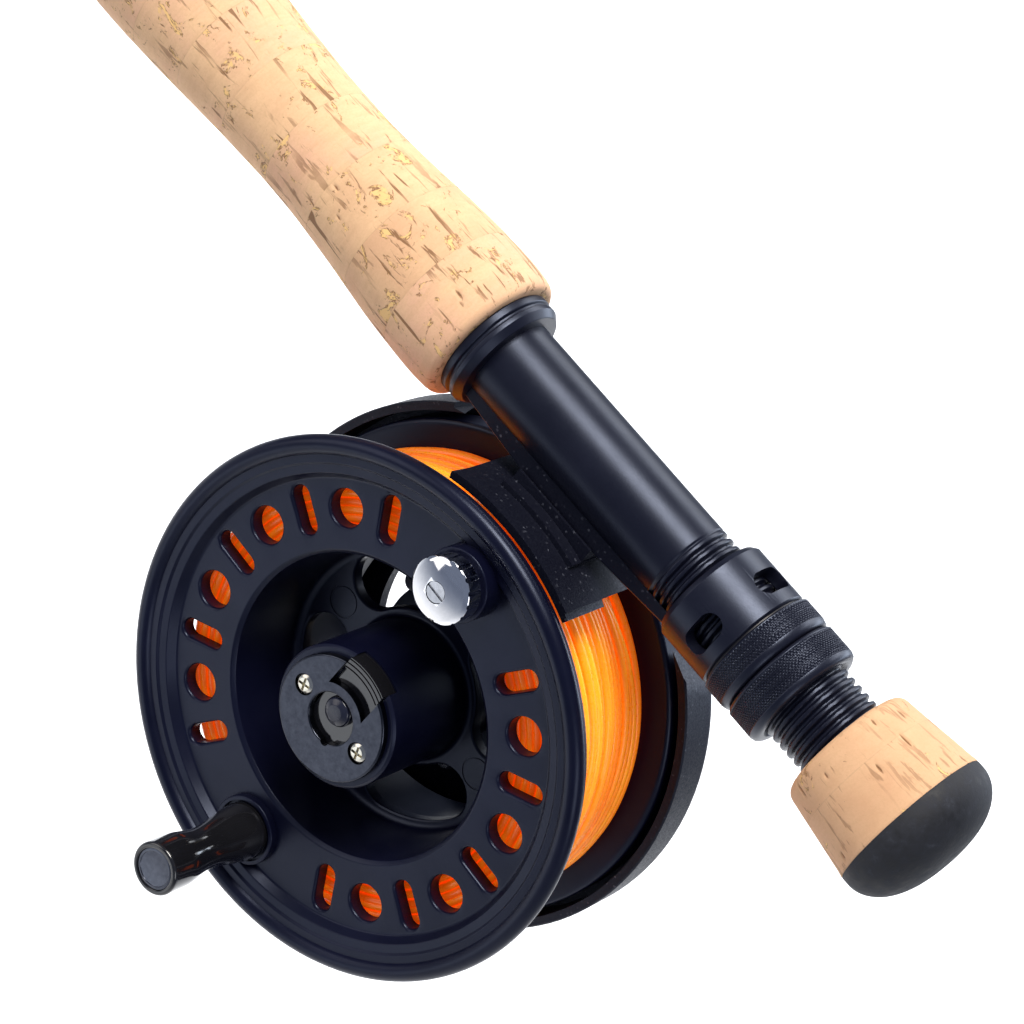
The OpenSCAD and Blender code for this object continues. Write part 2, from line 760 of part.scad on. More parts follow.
module spool() {
    color("#1c1d24") in_spool() difference() {
        union() {
            spool_rim();
            spool_drum();
            disc(post_r, post_foot_n, post_top_n - 0.6);
            cone(post_r, post_r - 0.6, post_top_n - 0.6, post_top_n);
            translate([0, -handle_arm, 0]) disc(6.9, flange_back_n + 1, 20.6);
            translate([0, handle_arm, 0]) disc(6.9, flange_back_n + 1, 23.8);
        }
        face_holes();
        for (k = [0 : 3]) rotate([0, 0, 45 + 90 * k])
            kidney(window_mid_r, 5.3, 19, floor_n - floor_t - 1, floor_n + 1);
        for (side = [0, 180]) rotate([0, 0, side]) translate([window_mid_r + 0.3, 0, 0])
            tube(3.3, 3.0, floor_n - 0.2, floor_n + 1);
        disc(bush_r, -4, latch_n - 0.1);
        translate([0, 0, post_foot_n - 1]) cylinder(h = 7.1, r = hub_hex_r + 0.02, $fn = 6);
        slab(-4.8, 4.8, latch_foot - latch_travel - 0.2, post_r + 2, latch_n - 0.1, post_top_n + 1);
        slab(-1.4, 1.4, spring_foot, -6, latch_n - 0.1, post_top_n + 1);
        for (side = [-1, 1]) translate([8.1 * side, 0, 0]) disc(1.1, 16, post_top_n + 1);
        translate([0, -handle_arm, 0]) {
            disc(6.1, 19.6, 22);
            disc(1.7, 10, 22);
        }
        translate([0, handle_arm, 0]) disc(1.5, 10, 26);
    }
}

module spool_bushings() {
    color("#c9a24a") in_spool() for (z = [-3.2, 15.6]) tube(bush_r, spindle_r + fit, z, z + 5.6);
}

module wound(r_in, r_out, z0, z1) { in_spool() tube(r_out, r_in, z0, z1); }

backing_r = 32.4;

module backing_line() { color("#e9e6da") wound(arbor_r, backing_r, rear_flange_n, flange_back_n); }

module fly_line() {
    color("#f58a1f") in_spool() difference() {
        union() {
            disc(line_r, rear_flange_n + 3, flange_back_n - 3);
            cone(line_r - 0.9, line_r, rear_flange_n, rear_flange_n + 3);
            cone(line_r, line_r - 0.9, flange_back_n - 3, flange_back_n);
        }
        disc(backing_r, rear_flange_n - 1, flange_back_n + 1);
    }
}

// ---- Spool latch and hub cap ----

button_y = 1.9;

// The latch slides in the top of the post. Its keyhole grips the spindle's groove.
module spool_latch() {
    color("#15161a") in_spool() {
        difference() {
            union() {
                slab(-4.7, 4.7, latch_foot, 10.2, latch_n, post_top_n - 0.15);
                intersection() {
                    slab(-4.7, 4.7, 10, post_r + 1, latch_n, 26.2);
                    disc(post_r - 0.3, latch_n, 26.2);
                }
            }
            disc(groove_r + 0.08, latch_n - 1, latch_n + 1.9);
            translate([0, latch_travel, 0]) disc(spindle_r + 0.3, latch_n - 1, latch_n + 1.9);
            slab(-groove_r - 0.08, groove_r + 0.08, 0, latch_travel, latch_n - 1, latch_n + 1.9);
            for (y = [0, latch_travel]) translate([0, y, 0])
                disc(spindle_r + 0.3, latch_n + 1.2, latch_n + 2.0);
            slab(-spindle_r - 0.3, spindle_r + 0.3, 0, latch_travel, latch_n + 1.2, latch_n + 2.0);
            for (r = [11.0, 11.9, 12.8]) tube(r + 0.3, r, 25.7, 27);
        }
        translate([0, button_y, post_top_n - 0.2]) intersection() {
            translate([0, 0, -2.6]) sphere(r = 4.6);
            disc(2.9, 0, 3);
        }
    }
}

module latch_spring() {
    wire_r = 0.2;
    turns = 6;
    reach = latch_foot - spring_foot - 2 * wire_r - 0.04;
    color("#d5d7da") in_spool() translate([0, spring_foot + wire_r + 0.02, latch_n + 1.25])
        rotate([-90, 0, 0]) coil(0.85, wire_r, reach / turns, turns);
}

module hub_cap() {
    cap_r = 12.1;
    cap_top = 26.4;
    color("#54585f") in_spool() difference() {
        union() {
            disc(cap_r, post_top_n, cap_top - 0.5);
            cone(cap_r, cap_r - 0.5, cap_top - 0.5, cap_top);
        }
        disc(5, 20, 30);
        difference() {
            slab(-4.9, 4.9, 4, 20, 20, 30);
            disc(7, 19, 31);
        }
        for (side = [-1, 1]) translate([8.1 * side, 0, 0]) {
            disc(1.1, 20, 30);
            disc(2.1, 25.4, 30);
        }
        rotate([0, 0, -66]) translate([4.8, 0, 0]) disc(0.9, 20, 30);
    }
}

module hub_cap_screws() {
    color("#c9c3a6") in_spool() for (side = [-1, 1]) translate([8.1 * side, 0, 0]) difference() {
        union() {
            disc(1.1, 18, 25.5);
            disc(2.0, 25.4, 26.0);
            cone(2.0, 1.3, 26.0, 26.5);
        }
        for (turn = [20, 110]) rotate([0, 0, turn]) slab(-1.2, 1.2, -0.25, 0.25, 25.9, 27);
    }
}

// ---- Crank handle and counterweight ----

knob_base_n = 19.9;
knob_end_n = 46.0;

// Radius of the handle along its length: broad base, waist, and a bead at the end.
function handle_r(t) =
    t < 0.52 ? blend(5.6, 4.15, t / 0.52) :
    t < 0.84 ? blend(4.15, 5.2, (t - 0.52) / 0.32) :
    5.2;

module handle_post() {
    color("#9ea2a8") in_spool() translate([0, -handle_arm, 0]) {
        disc(1.7, 16.4, knob_base_n - 0.2);
        disc(1.9, knob_base_n - 0.3, 42.4);
        disc(3.0, 42.4, 44.0);
    }
}

module handle_knob() {
    steps = 20;
    len = knob_end_n - knob_base_n;
    color("#14151a") in_spool() translate([0, -handle_arm, 0]) difference() {
        rotate_extrude() polygon(concat(
            [[0, knob_base_n], [5.3, knob_base_n]],
            [for (k = [0 : steps]) let (t = k / steps) [handle_r(t), knob_base_n + 0.3 + t * (len - 1)]],
            [[4.6, knob_end_n], [0, knob_end_n]]));
        disc(1.9 + fit, 10, 50);
        disc(3.3, 42.1, 50);
        disc(4.1, 44.8, 50);
    }
}

module handle_end_cap() {
    color("#5d6068") in_spool() translate([0, -handle_arm, 0]) disc(4.1, 44.8, 45.9);
}

module counterweight() {
    color("#d9dbdf") in_spool() translate([0, handle_arm, 0]) difference() {
        union() {
            disc(6.3, 24.6, 28.4);
            cone(5.4, 6.3, 23.8, 24.6);
            cone(6.3, 5.2, 28.4, 29.6);
        }
        for (k = [0 : 15]) rotate([0, 0, 22.5 * k]) translate([6.9, 0, 0]) disc(0.9, 22, 31);
        disc(1.5, 20, 32);
        disc(2.0, 28.9, 32);
    }
}

module counterweight_screw() {
    color("#8f9298") in_spool() translate([0, handle_arm, 0]) difference() {
        union() {
            disc(1.5, 16.4, 29);
            disc(1.95, 28.9, 29.5);
        }
        slab(-2, 2, -0.3, 0.3, 29.2, 30);
    }
}

blank();
ferrule_spigot();
ferrule_wrap();
winding_check();
hook_keeper();
keeper_wraps();
cork_grip();
seat_tube();
seat_bushings();
fixed_hood();
sliding_hood();
slip_washer();
lock_nut();
jam_nut();
butt_cork();
butt_cap();
reel_frame();
reel_foot();
foot_screws();
spindle();
spindle_nut();
pressure_plate();
drag_washers();
drag_disc();
one_way_clutch();
drag_cover();
cover_screws();
drive_hub();
click_gear();
pawl_post();
click_pawl();
pawl_spring();
push_spider();
drag_springs();
drag_knob();
knob_clip();
spool();
spool_bushings();
backing_line();
fly_line();
spool_latch();
latch_spring();
hub_cap();
hub_cap_screws();
handle_post();
handle_knob();
handle_end_cap();
counterweight();
counterweight_screw();
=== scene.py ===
import bpy
import bmesh
import math
import random
import numpy as np
from mathutils import Matrix, Vector, noise


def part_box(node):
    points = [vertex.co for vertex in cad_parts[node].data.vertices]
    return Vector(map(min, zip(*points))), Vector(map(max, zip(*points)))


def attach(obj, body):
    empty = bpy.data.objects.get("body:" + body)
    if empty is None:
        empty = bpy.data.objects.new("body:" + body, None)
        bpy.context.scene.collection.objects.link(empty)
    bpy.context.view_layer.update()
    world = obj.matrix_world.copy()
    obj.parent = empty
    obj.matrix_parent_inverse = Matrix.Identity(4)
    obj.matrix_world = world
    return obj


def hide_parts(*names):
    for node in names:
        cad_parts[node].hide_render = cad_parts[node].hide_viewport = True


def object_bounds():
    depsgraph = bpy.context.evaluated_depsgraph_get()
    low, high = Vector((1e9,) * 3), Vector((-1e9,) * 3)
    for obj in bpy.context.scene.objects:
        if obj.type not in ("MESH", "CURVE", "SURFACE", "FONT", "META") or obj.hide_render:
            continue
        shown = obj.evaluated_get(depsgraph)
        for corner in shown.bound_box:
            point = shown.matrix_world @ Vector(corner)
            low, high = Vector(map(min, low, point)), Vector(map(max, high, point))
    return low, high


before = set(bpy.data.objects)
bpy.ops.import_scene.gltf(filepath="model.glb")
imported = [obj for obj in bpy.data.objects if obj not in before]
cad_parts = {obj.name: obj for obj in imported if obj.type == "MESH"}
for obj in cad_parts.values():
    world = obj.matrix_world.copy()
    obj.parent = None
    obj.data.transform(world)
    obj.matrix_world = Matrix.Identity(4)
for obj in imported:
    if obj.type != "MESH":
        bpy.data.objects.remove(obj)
cad_low, cad_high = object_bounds()

MM = 0.001
TAU = 2 * math.pi


# ---- Places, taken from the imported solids, apart from the angle that the spool stands at ----

spindle_low, spindle_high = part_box("spindle")
axle = (spindle_low + spindle_high) / 2
SPOOL_TURN = math.radians(-2.4)
# Local Z of the reel runs towards the crank side, and local Y up to the rod.
REEL = Matrix.Translation((axle.x, 0, axle.z)) @ Matrix.Rotation(math.pi / 2, 4, "X")
SPOOL = REEL @ Matrix.Rotation(SPOOL_TURN, 4, "Z")
# Local Z of the rod runs towards the butt.
ROD = Matrix.Rotation(math.pi / 2, 4, "Y")

grip_low, grip_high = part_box("cork_grip")
GRIP_START, GRIP_END = grip_low.x / MM, grip_high.x / MM
REEL_X = axle.x / MM
GRIP_RINGS = 14
RING_LEN = (GRIP_END - GRIP_START) / GRIP_RINGS


# ---- Mesh helpers, in millimetres in a local frame ----

def new_object(name, verts, faces, place, merge=True):
    """A mesh object from local millimetres, put at its place in the scene's metres."""
    mesh = bpy.data.meshes.new(name)
    mesh.from_pydata([tuple(v) for v in verts], [], [tuple(f) for f in faces])
    mesh.transform(place @ Matrix.Scale(MM, 4))
    bm = bmesh.new()
    bm.from_mesh(mesh)
    if merge:
        bmesh.ops.remove_doubles(bm, verts=bm.verts, dist=2e-7)
    bmesh.ops.recalc_face_normals(bm, faces=bm.faces)
    bm.to_mesh(mesh)
    bm.free()
    obj = bpy.data.objects.new(name, mesh)
    bpy.context.scene.collection.objects.link(obj)
    return obj


def shade(obj, angle=32, weighted=True):
    """Smooth shading, with sharp edges where faces meet at more than the angle."""
    mesh = obj.data
    mesh.polygons.foreach_set("use_smooth", [True] * len(mesh.polygons))
    bm = bmesh.new()
    bm.from_mesh(mesh)
    limit = math.radians(angle)
    for edge in bm.edges:
        edge.smooth = len(edge.link_faces) == 2 and edge.calc_face_angle(0) < limit
    bm.to_mesh(mesh)
    bm.free()
    if weighted:
        mod = obj.modifiers.new("weighted", "WEIGHTED_NORMAL")
        mod.keep_sharp = True
    return obj


def soft(points, steps=4, closed=True):
    """A profile with rounded corners: each point is (r, z) or (r, z, corner radius)."""
    out = []
    count = len(points)
    for i, p in enumerate(points):
        corner = p[2] if len(p) > 2 else 0
        if corner == 0 or (not closed and i in (0, count - 1)):
            out.append((p[0], p[1]))
            continue
        b = Vector(p[:2])
        u = Vector(points[i - 1][:2]) - b
        v = Vector(points[(i + 1) % count][:2]) - b
        reach = 0.48 * min(u.length, v.length)
        u.normalize()
        v.normalize()
        half = u.angle(v) / 2
        cut = min(corner / math.tan(half), reach)
        radius = cut * math.tan(half)
        centre = b + (u + v).normalized() * (radius / math.sin(half))
        s, e = b + u * cut - centre, b + v * cut - centre
        a0, a1 = math.atan2(s.y, s.x), math.atan2(e.y, e.x)
        turn = (a1 - a0 + math.pi) % TAU - math.pi
        for k in range(steps + 1):
            a = a0 + turn * k / steps
            out.append((centre.x + radius * math.cos(a), centre.y + radius * math.sin(a)))
    return out


def arc(r, z, radius, start, stop, steps=10):
    """Points of a profile along an arc, with its angles in degrees."""
    return [(r + radius * math.cos(math.radians(start + (stop - start) * k / steps)),
             z + radius * math.sin(math.radians(start + (stop - start) * k / steps)))
            for k in range(steps + 1)]


def ring_faces(rows, cols, wrap_rows):
    """Quads over a grid of points whose columns close on themselves, and its rows too if asked."""
    faces = []
    for i in range(rows if wrap_rows else rows - 1):
        j = (i + 1) % rows
        for k in range(cols):
            m = (k + 1) % cols
            faces.append((i * cols + k, j * cols + k, j * cols + m, i * cols + m))
    return faces


def lathe(name, profile, place, segs=160, closed=True, angle=32, shaded=True):
    """Turns a profile of (r, z) round local Z. An open profile starts and ends on the axis."""
    p = np.array(profile, float)
    a = np.arange(segs) * TAU / segs
    verts = np.empty((len(p), segs, 3))
    verts[:, :, 0] = p[:, 0:1] * np.cos(a)
    verts[:, :, 1] = p[:, 0:1] * np.sin(a)
    verts[:, :, 2] = p[:, 1:2]
    obj = new_object(name, verts.reshape(-1, 3), ring_faces(len(p), segs, closed), place)
    return shade(obj, angle) if shaded else obj


def prism(outline, levels):
    """Vertices and faces of a closed prism: outline(grow) gives its points at each (z, grow)."""
    verts, count = [], 0
    for z, grow in levels:
        ring = outline(grow)
        count = len(ring)
        verts += [(x, y, z) for x, y in ring]
    faces = ring_faces(len(levels), count, False)
    faces.append(tuple(range(count - 1, -1, -1)))
    faces.append(tuple(range((len(levels) - 1) * count, len(levels) * count)))
    return verts, faces


def stadium(cx, length, radius, turn=0.0, steps=14):
    """Outline of a slot whose long way points away from the axis, turned about the axis."""
    def outline(grow):
        points = []
        for side, base in ((1, -90), (-1, 90)):
            for k in range(steps + 1):
                a = math.radians(base + 180 * k / steps)
                x = cx + side * length / 2 + (radius + grow) * math.cos(a)
                y = (radius + grow) * math.sin(a)
                points.append((x * math.cos(turn) - y * math.sin(turn),
                               x * math.sin(turn) + y * math.cos(turn)))
        return points
    return outline


def kidney(mid_r, half_w, half_angle, turn, steps=16):
    """Outline of a window that bends round the axis, with round ends."""
    def outline(grow):
        w, a0, points = half_w + grow, math.radians(half_angle), []
        for k in range(steps + 1):
            a = -a0 + 2 * a0 * k / steps
            points.append(((mid_r + w) * math.cos(a), (mid_r + w) * math.sin(a)))
        for k in range(1, steps):
            b = a0 + math.pi * k / steps
            points.append((mid_r * math.cos(a0) + w * math.cos(b), mid_r * math.sin(a0) + w * math.sin(b)))
        for k in range(steps + 1):
            a = a0 - 2 * a0 * k / steps
            points.append(((mid_r - w) * math.cos(a), (mid_r - w) * math.sin(a)))
        for k in range(1, steps):
            b = -a0 + math.pi + math.pi * k / steps
            points.append((mid_r * math.cos(a0) + w * math.cos(b), -mid_r * math.sin(a0) + w * math.sin(b)))
        c, s = math.cos(turn), math.sin(turn)
        return [(x * c - y * s, x * s + y * c) for x, y in points]
    return outline


def block(x0, x1, y0, y1):
    """Outline of a rectangle."""
    def outline(grow):
        left, right, low, high = x0 - grow, x1 + grow, y0 - grow, y1 + grow
        return [(left, low), (right, low), (right, high), (left, high)]
    return outline


def joined(name, parts, place):
    """One object from several lots of vertices and faces."""
    verts, faces = [], []
    for v, f in parts:
        base = len(verts)
        verts += v
        faces += [tuple(i + base for i in face) for face in f]
    return new_object(name, verts, faces, place)


def combine(obj, other, operation):
    """Applies a boolean and removes the other object."""
    mod = obj.modifiers.new("cut", "BOOLEAN")
    mod.operation = operation
    mod.solver = "EXACT"
    mod.object = other
    bpy.context.view_layer.update()
    result = bpy.data.meshes.new_from_object(obj.evaluated_get(bpy.context.evaluated_depsgraph_get()))
    obj.modifiers.clear()
    old = obj.data
    obj.data = result
    bpy.data.meshes.remove(old)
    gone = other.data
    bpy.data.objects.remove(other)
    bpy.data.meshes.remove(gone)
    return obj


def soften(node, width=0.15, angle=30, segments=2):
    """A copy of a CAD node with its hard edges eased, standing for that node."""
    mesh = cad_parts[node].data.copy()
    mesh.name = node + "_eased"
    bm = bmesh.new()
    bm.from_mesh(mesh)
    bmesh.ops.remove_doubles(bm, verts=bm.verts, dist=1.5e-6)
    bmesh.ops.dissolve_limit(bm, angle_limit=math.radians(0.6), verts=bm.verts, edges=bm.edges)
    bmesh.ops.recalc_face_normals(bm, faces=bm.faces)
    bm.to_mesh(mesh)
    bm.free()
    mesh.materials.clear()
    obj = bpy.data.objects.new(node + "_eased", mesh)
    bpy.context.scene.collection.objects.link(obj)
    mod = obj.modifiers.new("bevel", "BEVEL")
    mod.width = width * MM
    mod.segments = segments
    mod.limit_method = "ANGLE"
    mod.angle_limit = math.radians(angle)
    mod.use_clamp_overlap = True
    mod.miter_outer = "MITER_ARC"
    bpy.context.view_layer.update()
    made = bpy.data.meshes.new_from_object(obj.evaluated_get(bpy.context.evaluated_depsgraph_get()))
    obj.modifiers.clear()
    obj.data = made
    shade(obj, 40)
    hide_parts(node)
    return obj


# ---- Materials ----

class Shader:
    """Small helper that builds a node material."""

    def __init__(self, name, base, rough, metallic=0.0, **sockets):
        self.mat = bpy.data.materials.new(name)
        self.mat.use_nodes = True
        self.tree = self.mat.node_tree
        self.bsdf = self.tree.nodes["Principled BSDF"]
        self.bsdf.inputs["Base Color"].default_value = (*base, 1)
        self.bsdf.inputs["Roughness"].default_value = rough
        self.bsdf.inputs["Metallic"].default_value = metallic
        for key, value in sockets.items():
            self.bsdf.inputs[key.replace("_", " ")].default_value = value
        self.place = self.tree.nodes.new("ShaderNodeTexCoord").outputs["Object"]

    def node(self, kind, **settings):
        n = self.tree.nodes.new("ShaderNode" + kind)
        for key, value in settings.items():
            if hasattr(n, key):
                setattr(n, key, value)
            else:
                n.inputs[key.replace("_", " ")].default_value = value
        return n

    def link(self, a, b):
        self.tree.links.new(a, b)

    def scaled(self, sx, sy, sz, source=None):
        n = self.node("Mapping")
        n.inputs["Scale"].default_value = (sx, sy, sz)
        self.link(source or self.place, n.inputs["Vector"])
        return n.outputs["Vector"]

    def noise(self, scale, detail=2.0, rough=0.5, source=None, distortion=0.0):
        n = self.node("TexNoise", Scale=scale, Detail=detail, Roughness=rough, Distortion=distortion)
        self.link(source or self.place, n.inputs["Vector"])
        return n.outputs["Fac"]

    def ramp(self, value, stops):
        n = self.node("ValToRGB")
        ramp = n.color_ramp
        while len(ramp.elements) < len(stops):
            ramp.elements.new(0.5)
        for element, (at, colour) in zip(ramp.elements, stops):
            element.position = at
            element.color = (*colour, 1) if hasattr(colour, "__len__") else (colour, colour, colour, 1)
        self.link(value, n.inputs["Fac"])
        return n.outputs["Color"]

    def math(self, operation, a, b=0.5):
        n = self.node("Math", operation=operation)
        for i, x in enumerate((a, b)):
            if hasattr(x, "is_linked"):
                self.link(x, n.inputs[i])
            else:
                n.inputs[i].default_value = x
        return n.outputs[0]

    def mix(self, fac, a, b):
        n = self.node("Mix", data_type="RGBA")
        for socket, x in ((n.inputs["Factor"], fac), (n.inputs[6], a), (n.inputs[7], b)):
            if hasattr(x, "is_linked"):
                self.link(x, socket)
            else:
                socket.default_value = (*x, 1) if hasattr(x, "__len__") else x
        return n.outputs[2]

    def colour(self, value):
        self.link(value, self.bsdf.inputs["Base Color"])

    def rough(self, value):
        self.link(value, self.bsdf.inputs["Roughness"])

    def bump(self, height, strength, distance=0.0001):
        n = self.node("Bump", Strength=strength, Distance=distance)
        self.link(height, n.inputs["Height"])
        self.link(n.outputs["Normal"], self.bsdf.inputs["Normal"])


def metal_paint(name, dark, light, rough, spread=0.06, grain=2600, strength=0.12, **sockets):
    """Anodised or painted metal: fine grain, with slow changes of tone and gloss."""
    s = Shader(name, dark, rough, **sockets)
    slow = s.noise(70, 3, 0.6)
    s.colour(s.ramp(slow, [(0.3, dark), (0.7, light)]))
    fine = s.noise(grain, 2, 0.7)
    s.rough(s.ramp(s.mix(0.5, s.noise(160, 4, 0.65), fine), [(0.25, rough - spread), (0.75, rough + spread)]))
    s.bump(fine, strength, 0.00002)
    return s.mat


def machined(name, dark, light, rough, spread=0.08):
    """Bare metal with faint turning marks and smudges."""
    s = Shader(name, light, rough, 1.0)
    marks = s.noise(900, 3, 0.7, source=s.scaled(1, 6, 1))
    s.colour(s.ramp(marks, [(0.2, dark), (0.8, light)]))
    s.rough(s.ramp(s.noise(240, 3, 0.6), [(0.2, max(0.02, rough - spread)), (0.8, rough + spread)]))
    s.bump(marks, 0.08, 0.00002)
    return s.mat


def powder_coat():
    """Dark powder paint with a fine sparkle."""
    s = Shader("powder_coat", (0.010, 0.011, 0.014), 0.5, Specular_IOR_Level=0.35, Specular_Tint=COOL)
    cells = s.node("TexVoronoi", Scale=2600.0)
    s.link(s.place, cells.inputs["Vector"])
    sparkle = s.ramp(cells.outputs["Color"], [(0.86, 0.0), (0.97, 1.0)])
    s.colour(s.mix(sparkle, (0.0026, 0.0027, 0.0072), (0.058, 0.061, 0.078)))
    s.rough(s.ramp(cells.outputs["Distance"], [(0.0, 0.36), (0.9, 0.62)]))
    s.bump(s.noise(2400, 2, 0.6), 0.45, 0.00006)
    return s.mat


def cork(name, tones, streaky, crumbs):
    """Cork rings, each in its own tone. Pits are filled where their noise is over the value of crumbs."""
    s = Shader(name, (0.8, 0.6, 0.4), 0.78)
    axes = s.node("SeparateXYZ")
    s.link(s.place, axes.inputs["Vector"])
    along = s.math("DIVIDE", s.math("SUBTRACT", axes.outputs["X"], GRIP_START * MM), RING_LEN * MM)
    ring = s.math("FLOOR", along)
    offset = s.node("CombineXYZ")
    s.link(s.math("MULTIPLY", ring, 0.0713), offset.inputs["Y"])
    s.link(s.math("MULTIPLY", ring, 0.0457), offset.inputs["Z"])
    moved = s.node("VectorMath", operation="ADD")
    s.link(s.place, moved.inputs[0])
    s.link(offset.outputs["Vector"], moved.inputs[1])
    here = moved.outputs["Vector"]

    ring_tone = s.node("TexWhiteNoise", noise_dimensions="1D")
    s.link(ring, ring_tone.inputs["W"])
    tone = s.math("ADD", s.math("MULTIPLY", ring_tone.outputs["Value"], 0.34),
                  s.math("MULTIPLY", s.noise(95, 4, 0.6, source=here), 0.66))
    pale, tan, rosy = tones
    colour = s.ramp(tone, [(0.26, tan), (0.5, pale), (0.78, rosy)])

    # Growth bands that run round the rod, and the fine grain of the cells.
    bands = s.noise(260, 4, 0.6, source=s.scaled(3.2, 0.55, 0.55, here), distortion=0.6)
    colour = s.mix(s.ramp(bands, [(0.42, 0.0), (0.62, 0.26)]), colour, (0.62, 0.36, 0.19))
    cells = s.noise(2300, 3, 0.7, source=here)
    colour = s.mix(s.ramp(cells, [(0.46, 0.0), (0.74, 0.30)]), colour, (0.56, 0.33, 0.17))

    # Lenticels: dark splits that run along the rod, in clusters.
    cluster = s.ramp(s.noise(75, 2, 0.5, source=here), [(0.38, 0.0), (0.58, 1.0)])
    streaks = s.noise(560, 3.5, 0.62, source=s.scaled(0.13, 1.0, 1.0, here), distortion=0.5)
    streak = s.ramp(streaks, [(0.585, 0.0), (0.635, 1.0)])
    streak = s.math("MULTIPLY", streak, s.math("ADD", s.math("MULTIPLY", cluster, 0.85), 0.15))
    long = s.noise(300, 2.5, 0.6, source=s.scaled(0.11, 1.0, 1.0, here), distortion=0.3)
    split = s.ramp(long, [(0.675, 0.0), (0.700, 1.0)])
    mark = s.math("MULTIPLY", s.math("MAXIMUM", streak, split), streaky)

    # Crumbly filled pits: yellow filler inside a broken dark edge.
    pits = s.noise(185, 5, 0.72, source=s.scaled(0.8, 1.0, 1.0, here), distortion=0.9)
    filler = s.ramp(pits, [(crumbs, 0.0), (crumbs + 0.023, 1.0)])
    rim = s.math("MULTIPLY", s.ramp(pits, [(crumbs - 0.02, 0.0), (crumbs - 0.002, 1.0)]),
                 s.ramp(pits, [(crumbs + 0.008, 1.0), (crumbs + 0.038, 0.0)]))
    rim = s.math("MULTIPLY", rim, s.ramp(s.noise(900, 2, 0.6, source=here), [(0.42, 0.0), (0.55, 1.0)]))
    colour = s.mix(s.math("MULTIPLY", filler, 0.75), colour, (0.86, 0.56, 0.20))
    mark = s.math("MAXIMUM", mark, rim)

    # The glue lines between the rings.
    within = s.math("FRACT", along)
    seam = s.math("ADD", s.math("LESS_THAN", within, 0.012), s.math("GREATER_THAN", within, 0.994))
    seam = s.math("MULTIPLY", seam, s.ramp(s.noise(400, 2, 0.5), [(0.4, 0.1), (0.7, 0.5)]))
    colour = s.mix(seam, colour, (0.50, 0.30, 0.16))

    dug = s.node("Attribute", attribute_name="pit").outputs["Fac"]
    mark = s.math("MAXIMUM", mark, s.ramp(dug, [(0.35, 0.0), (0.75, 0.9)]))
    colour = s.mix(s.math("MULTIPLY", mark, 0.86), colour, (0.20, 0.085, 0.028))
    s.colour(colour)
    s.rough(s.ramp(cells, [(0.3, 0.66), (0.7, 0.86)]))
    sunk = s.math("MAXIMUM", mark, s.math("MULTIPLY", filler, 0.4))
    height = s.math("SUBTRACT", s.math("MULTIPLY", cells, 0.35), sunk)
    s.bump(height, 0.55, 0.00016)
    return s.mat


def rubber_cap():
    """Mottled dull rubber."""
    s = Shader("cap_rubber", (0.02, 0.02, 0.025), 0.72)
    mottle = s.noise(420, 5, 0.72)
    s.colour(s.ramp(mottle, [(0.38, (0.0045, 0.005, 0.008)), (0.58, (0.013, 0.0145, 0.021)),
                             (0.76, (0.036, 0.040, 0.052))]))
    s.rough(s.ramp(mottle, [(0.3, 0.6), (0.7, 0.86)]))
    s.bump(s.noise(900, 4, 0.7), 0.5, 0.00012)
    return s.mat


def line_coat():
    """Fluorescent orange line with a painted glow: a faint red emission that brightens it, also in the shade
    of the spool.
    """
    # The emission is a painted glow: the line gives off faint red light of its own, which lightens it where
    # it lies in shade.
    s = Shader("fly_line_coat", (1.0, 0.45, 0.06), 0.30, Subsurface_Weight=0.15, Subsurface_Scale=0.0012,
               Specular_IOR_Level=0.5, Emission_Color=(1.0, 0.09, 0.0, 1), Emission_Strength=0.30)
    s.bsdf.inputs["Subsurface Radius"].default_value = (1.0, 0.45, 0.1)
    # Each strand's tone, random within its layer and with painted shade that darkens the lower turns, runs
    # from deep red-orange to yellow-orange.
    tone_and_shade = s.node("Attribute", attribute_name="tone_and_shade").outputs["Fac"]
    base = s.ramp(tone_and_shade, [(0.0, (1.0, 0.150, 0.006)), (0.45, (1.0, 0.345, 0.008)), (1.0, (1.0, 0.53, 0.022))])
    dirt = s.ramp(s.noise(240, 3, 0.6), [(0.35, 0.0), (0.8, 0.12)])
    s.colour(s.mix(dirt, base, (0.86, 0.13, 0.01)))
    s.rough(s.ramp(s.noise(700, 2, 0.6), [(0.3, 0.22), (0.7, 0.38)]))
    s.bump(s.noise(1500, 2, 0.5), 0.06, 0.00003)
    return s.mat


def plain_detail(name, dark, light, rough, scale=500, strength=0.15, metallic=0.0):
    """Two tones of one colour in a fine grain, for small and hidden parts."""
    s = Shader(name, light, rough, metallic)
    n = s.noise(scale, 4, 0.65)
    s.colour(s.ramp(n, [(0.3, dark), (0.7, light)]))
    s.rough(s.ramp(n, [(0.3, max(0.03, rough - 0.07)), (0.7, rough + 0.07)]))
    s.bump(n, strength, 0.00005)
    return s.mat


# The tint of the highlights on the dark metals.
COOL = (0.66, 0.75, 1.0, 1.0)
SEAT_BLACK = metal_paint("seat_black", (0.0024, 0.0026, 0.0075), (0.0044, 0.0048, 0.0115), 0.36,
                         Specular_IOR_Level=0.40, Specular_Tint=COOL)
HOOD_BLACK = metal_paint("hood_black", (0.0028, 0.0031, 0.0082), (0.0054, 0.0058, 0.0125), 0.36, strength=0.2,
                         Specular_IOR_Level=0.50, Specular_Tint=COOL)
SPOOL_BLACK = metal_paint("spool_blue_black", (0.0015, 0.0018, 0.0095), (0.0034, 0.0040, 0.0150), 0.33,
                          Specular_IOR_Level=0.33, Specular_Tint=COOL)
POWDER = powder_coat()
CORK_PALE = cork("grip_cork", ((0.78, 0.500, 0.275), (0.68, 0.400, 0.225), (0.76, 0.425, 0.275)), 1.0, 0.592)
CORK_PINK = cork("butt_cork", ((0.70, 0.420, 0.230), (0.630, 0.345, 0.185), (0.69, 0.375, 0.225)), 0.55, 0.63)
RUBBER = rubber_cap()
LINE = line_coat()
STEEL = machined("machined_steel", (0.36, 0.37, 0.39), (0.56, 0.57, 0.60), 0.28)
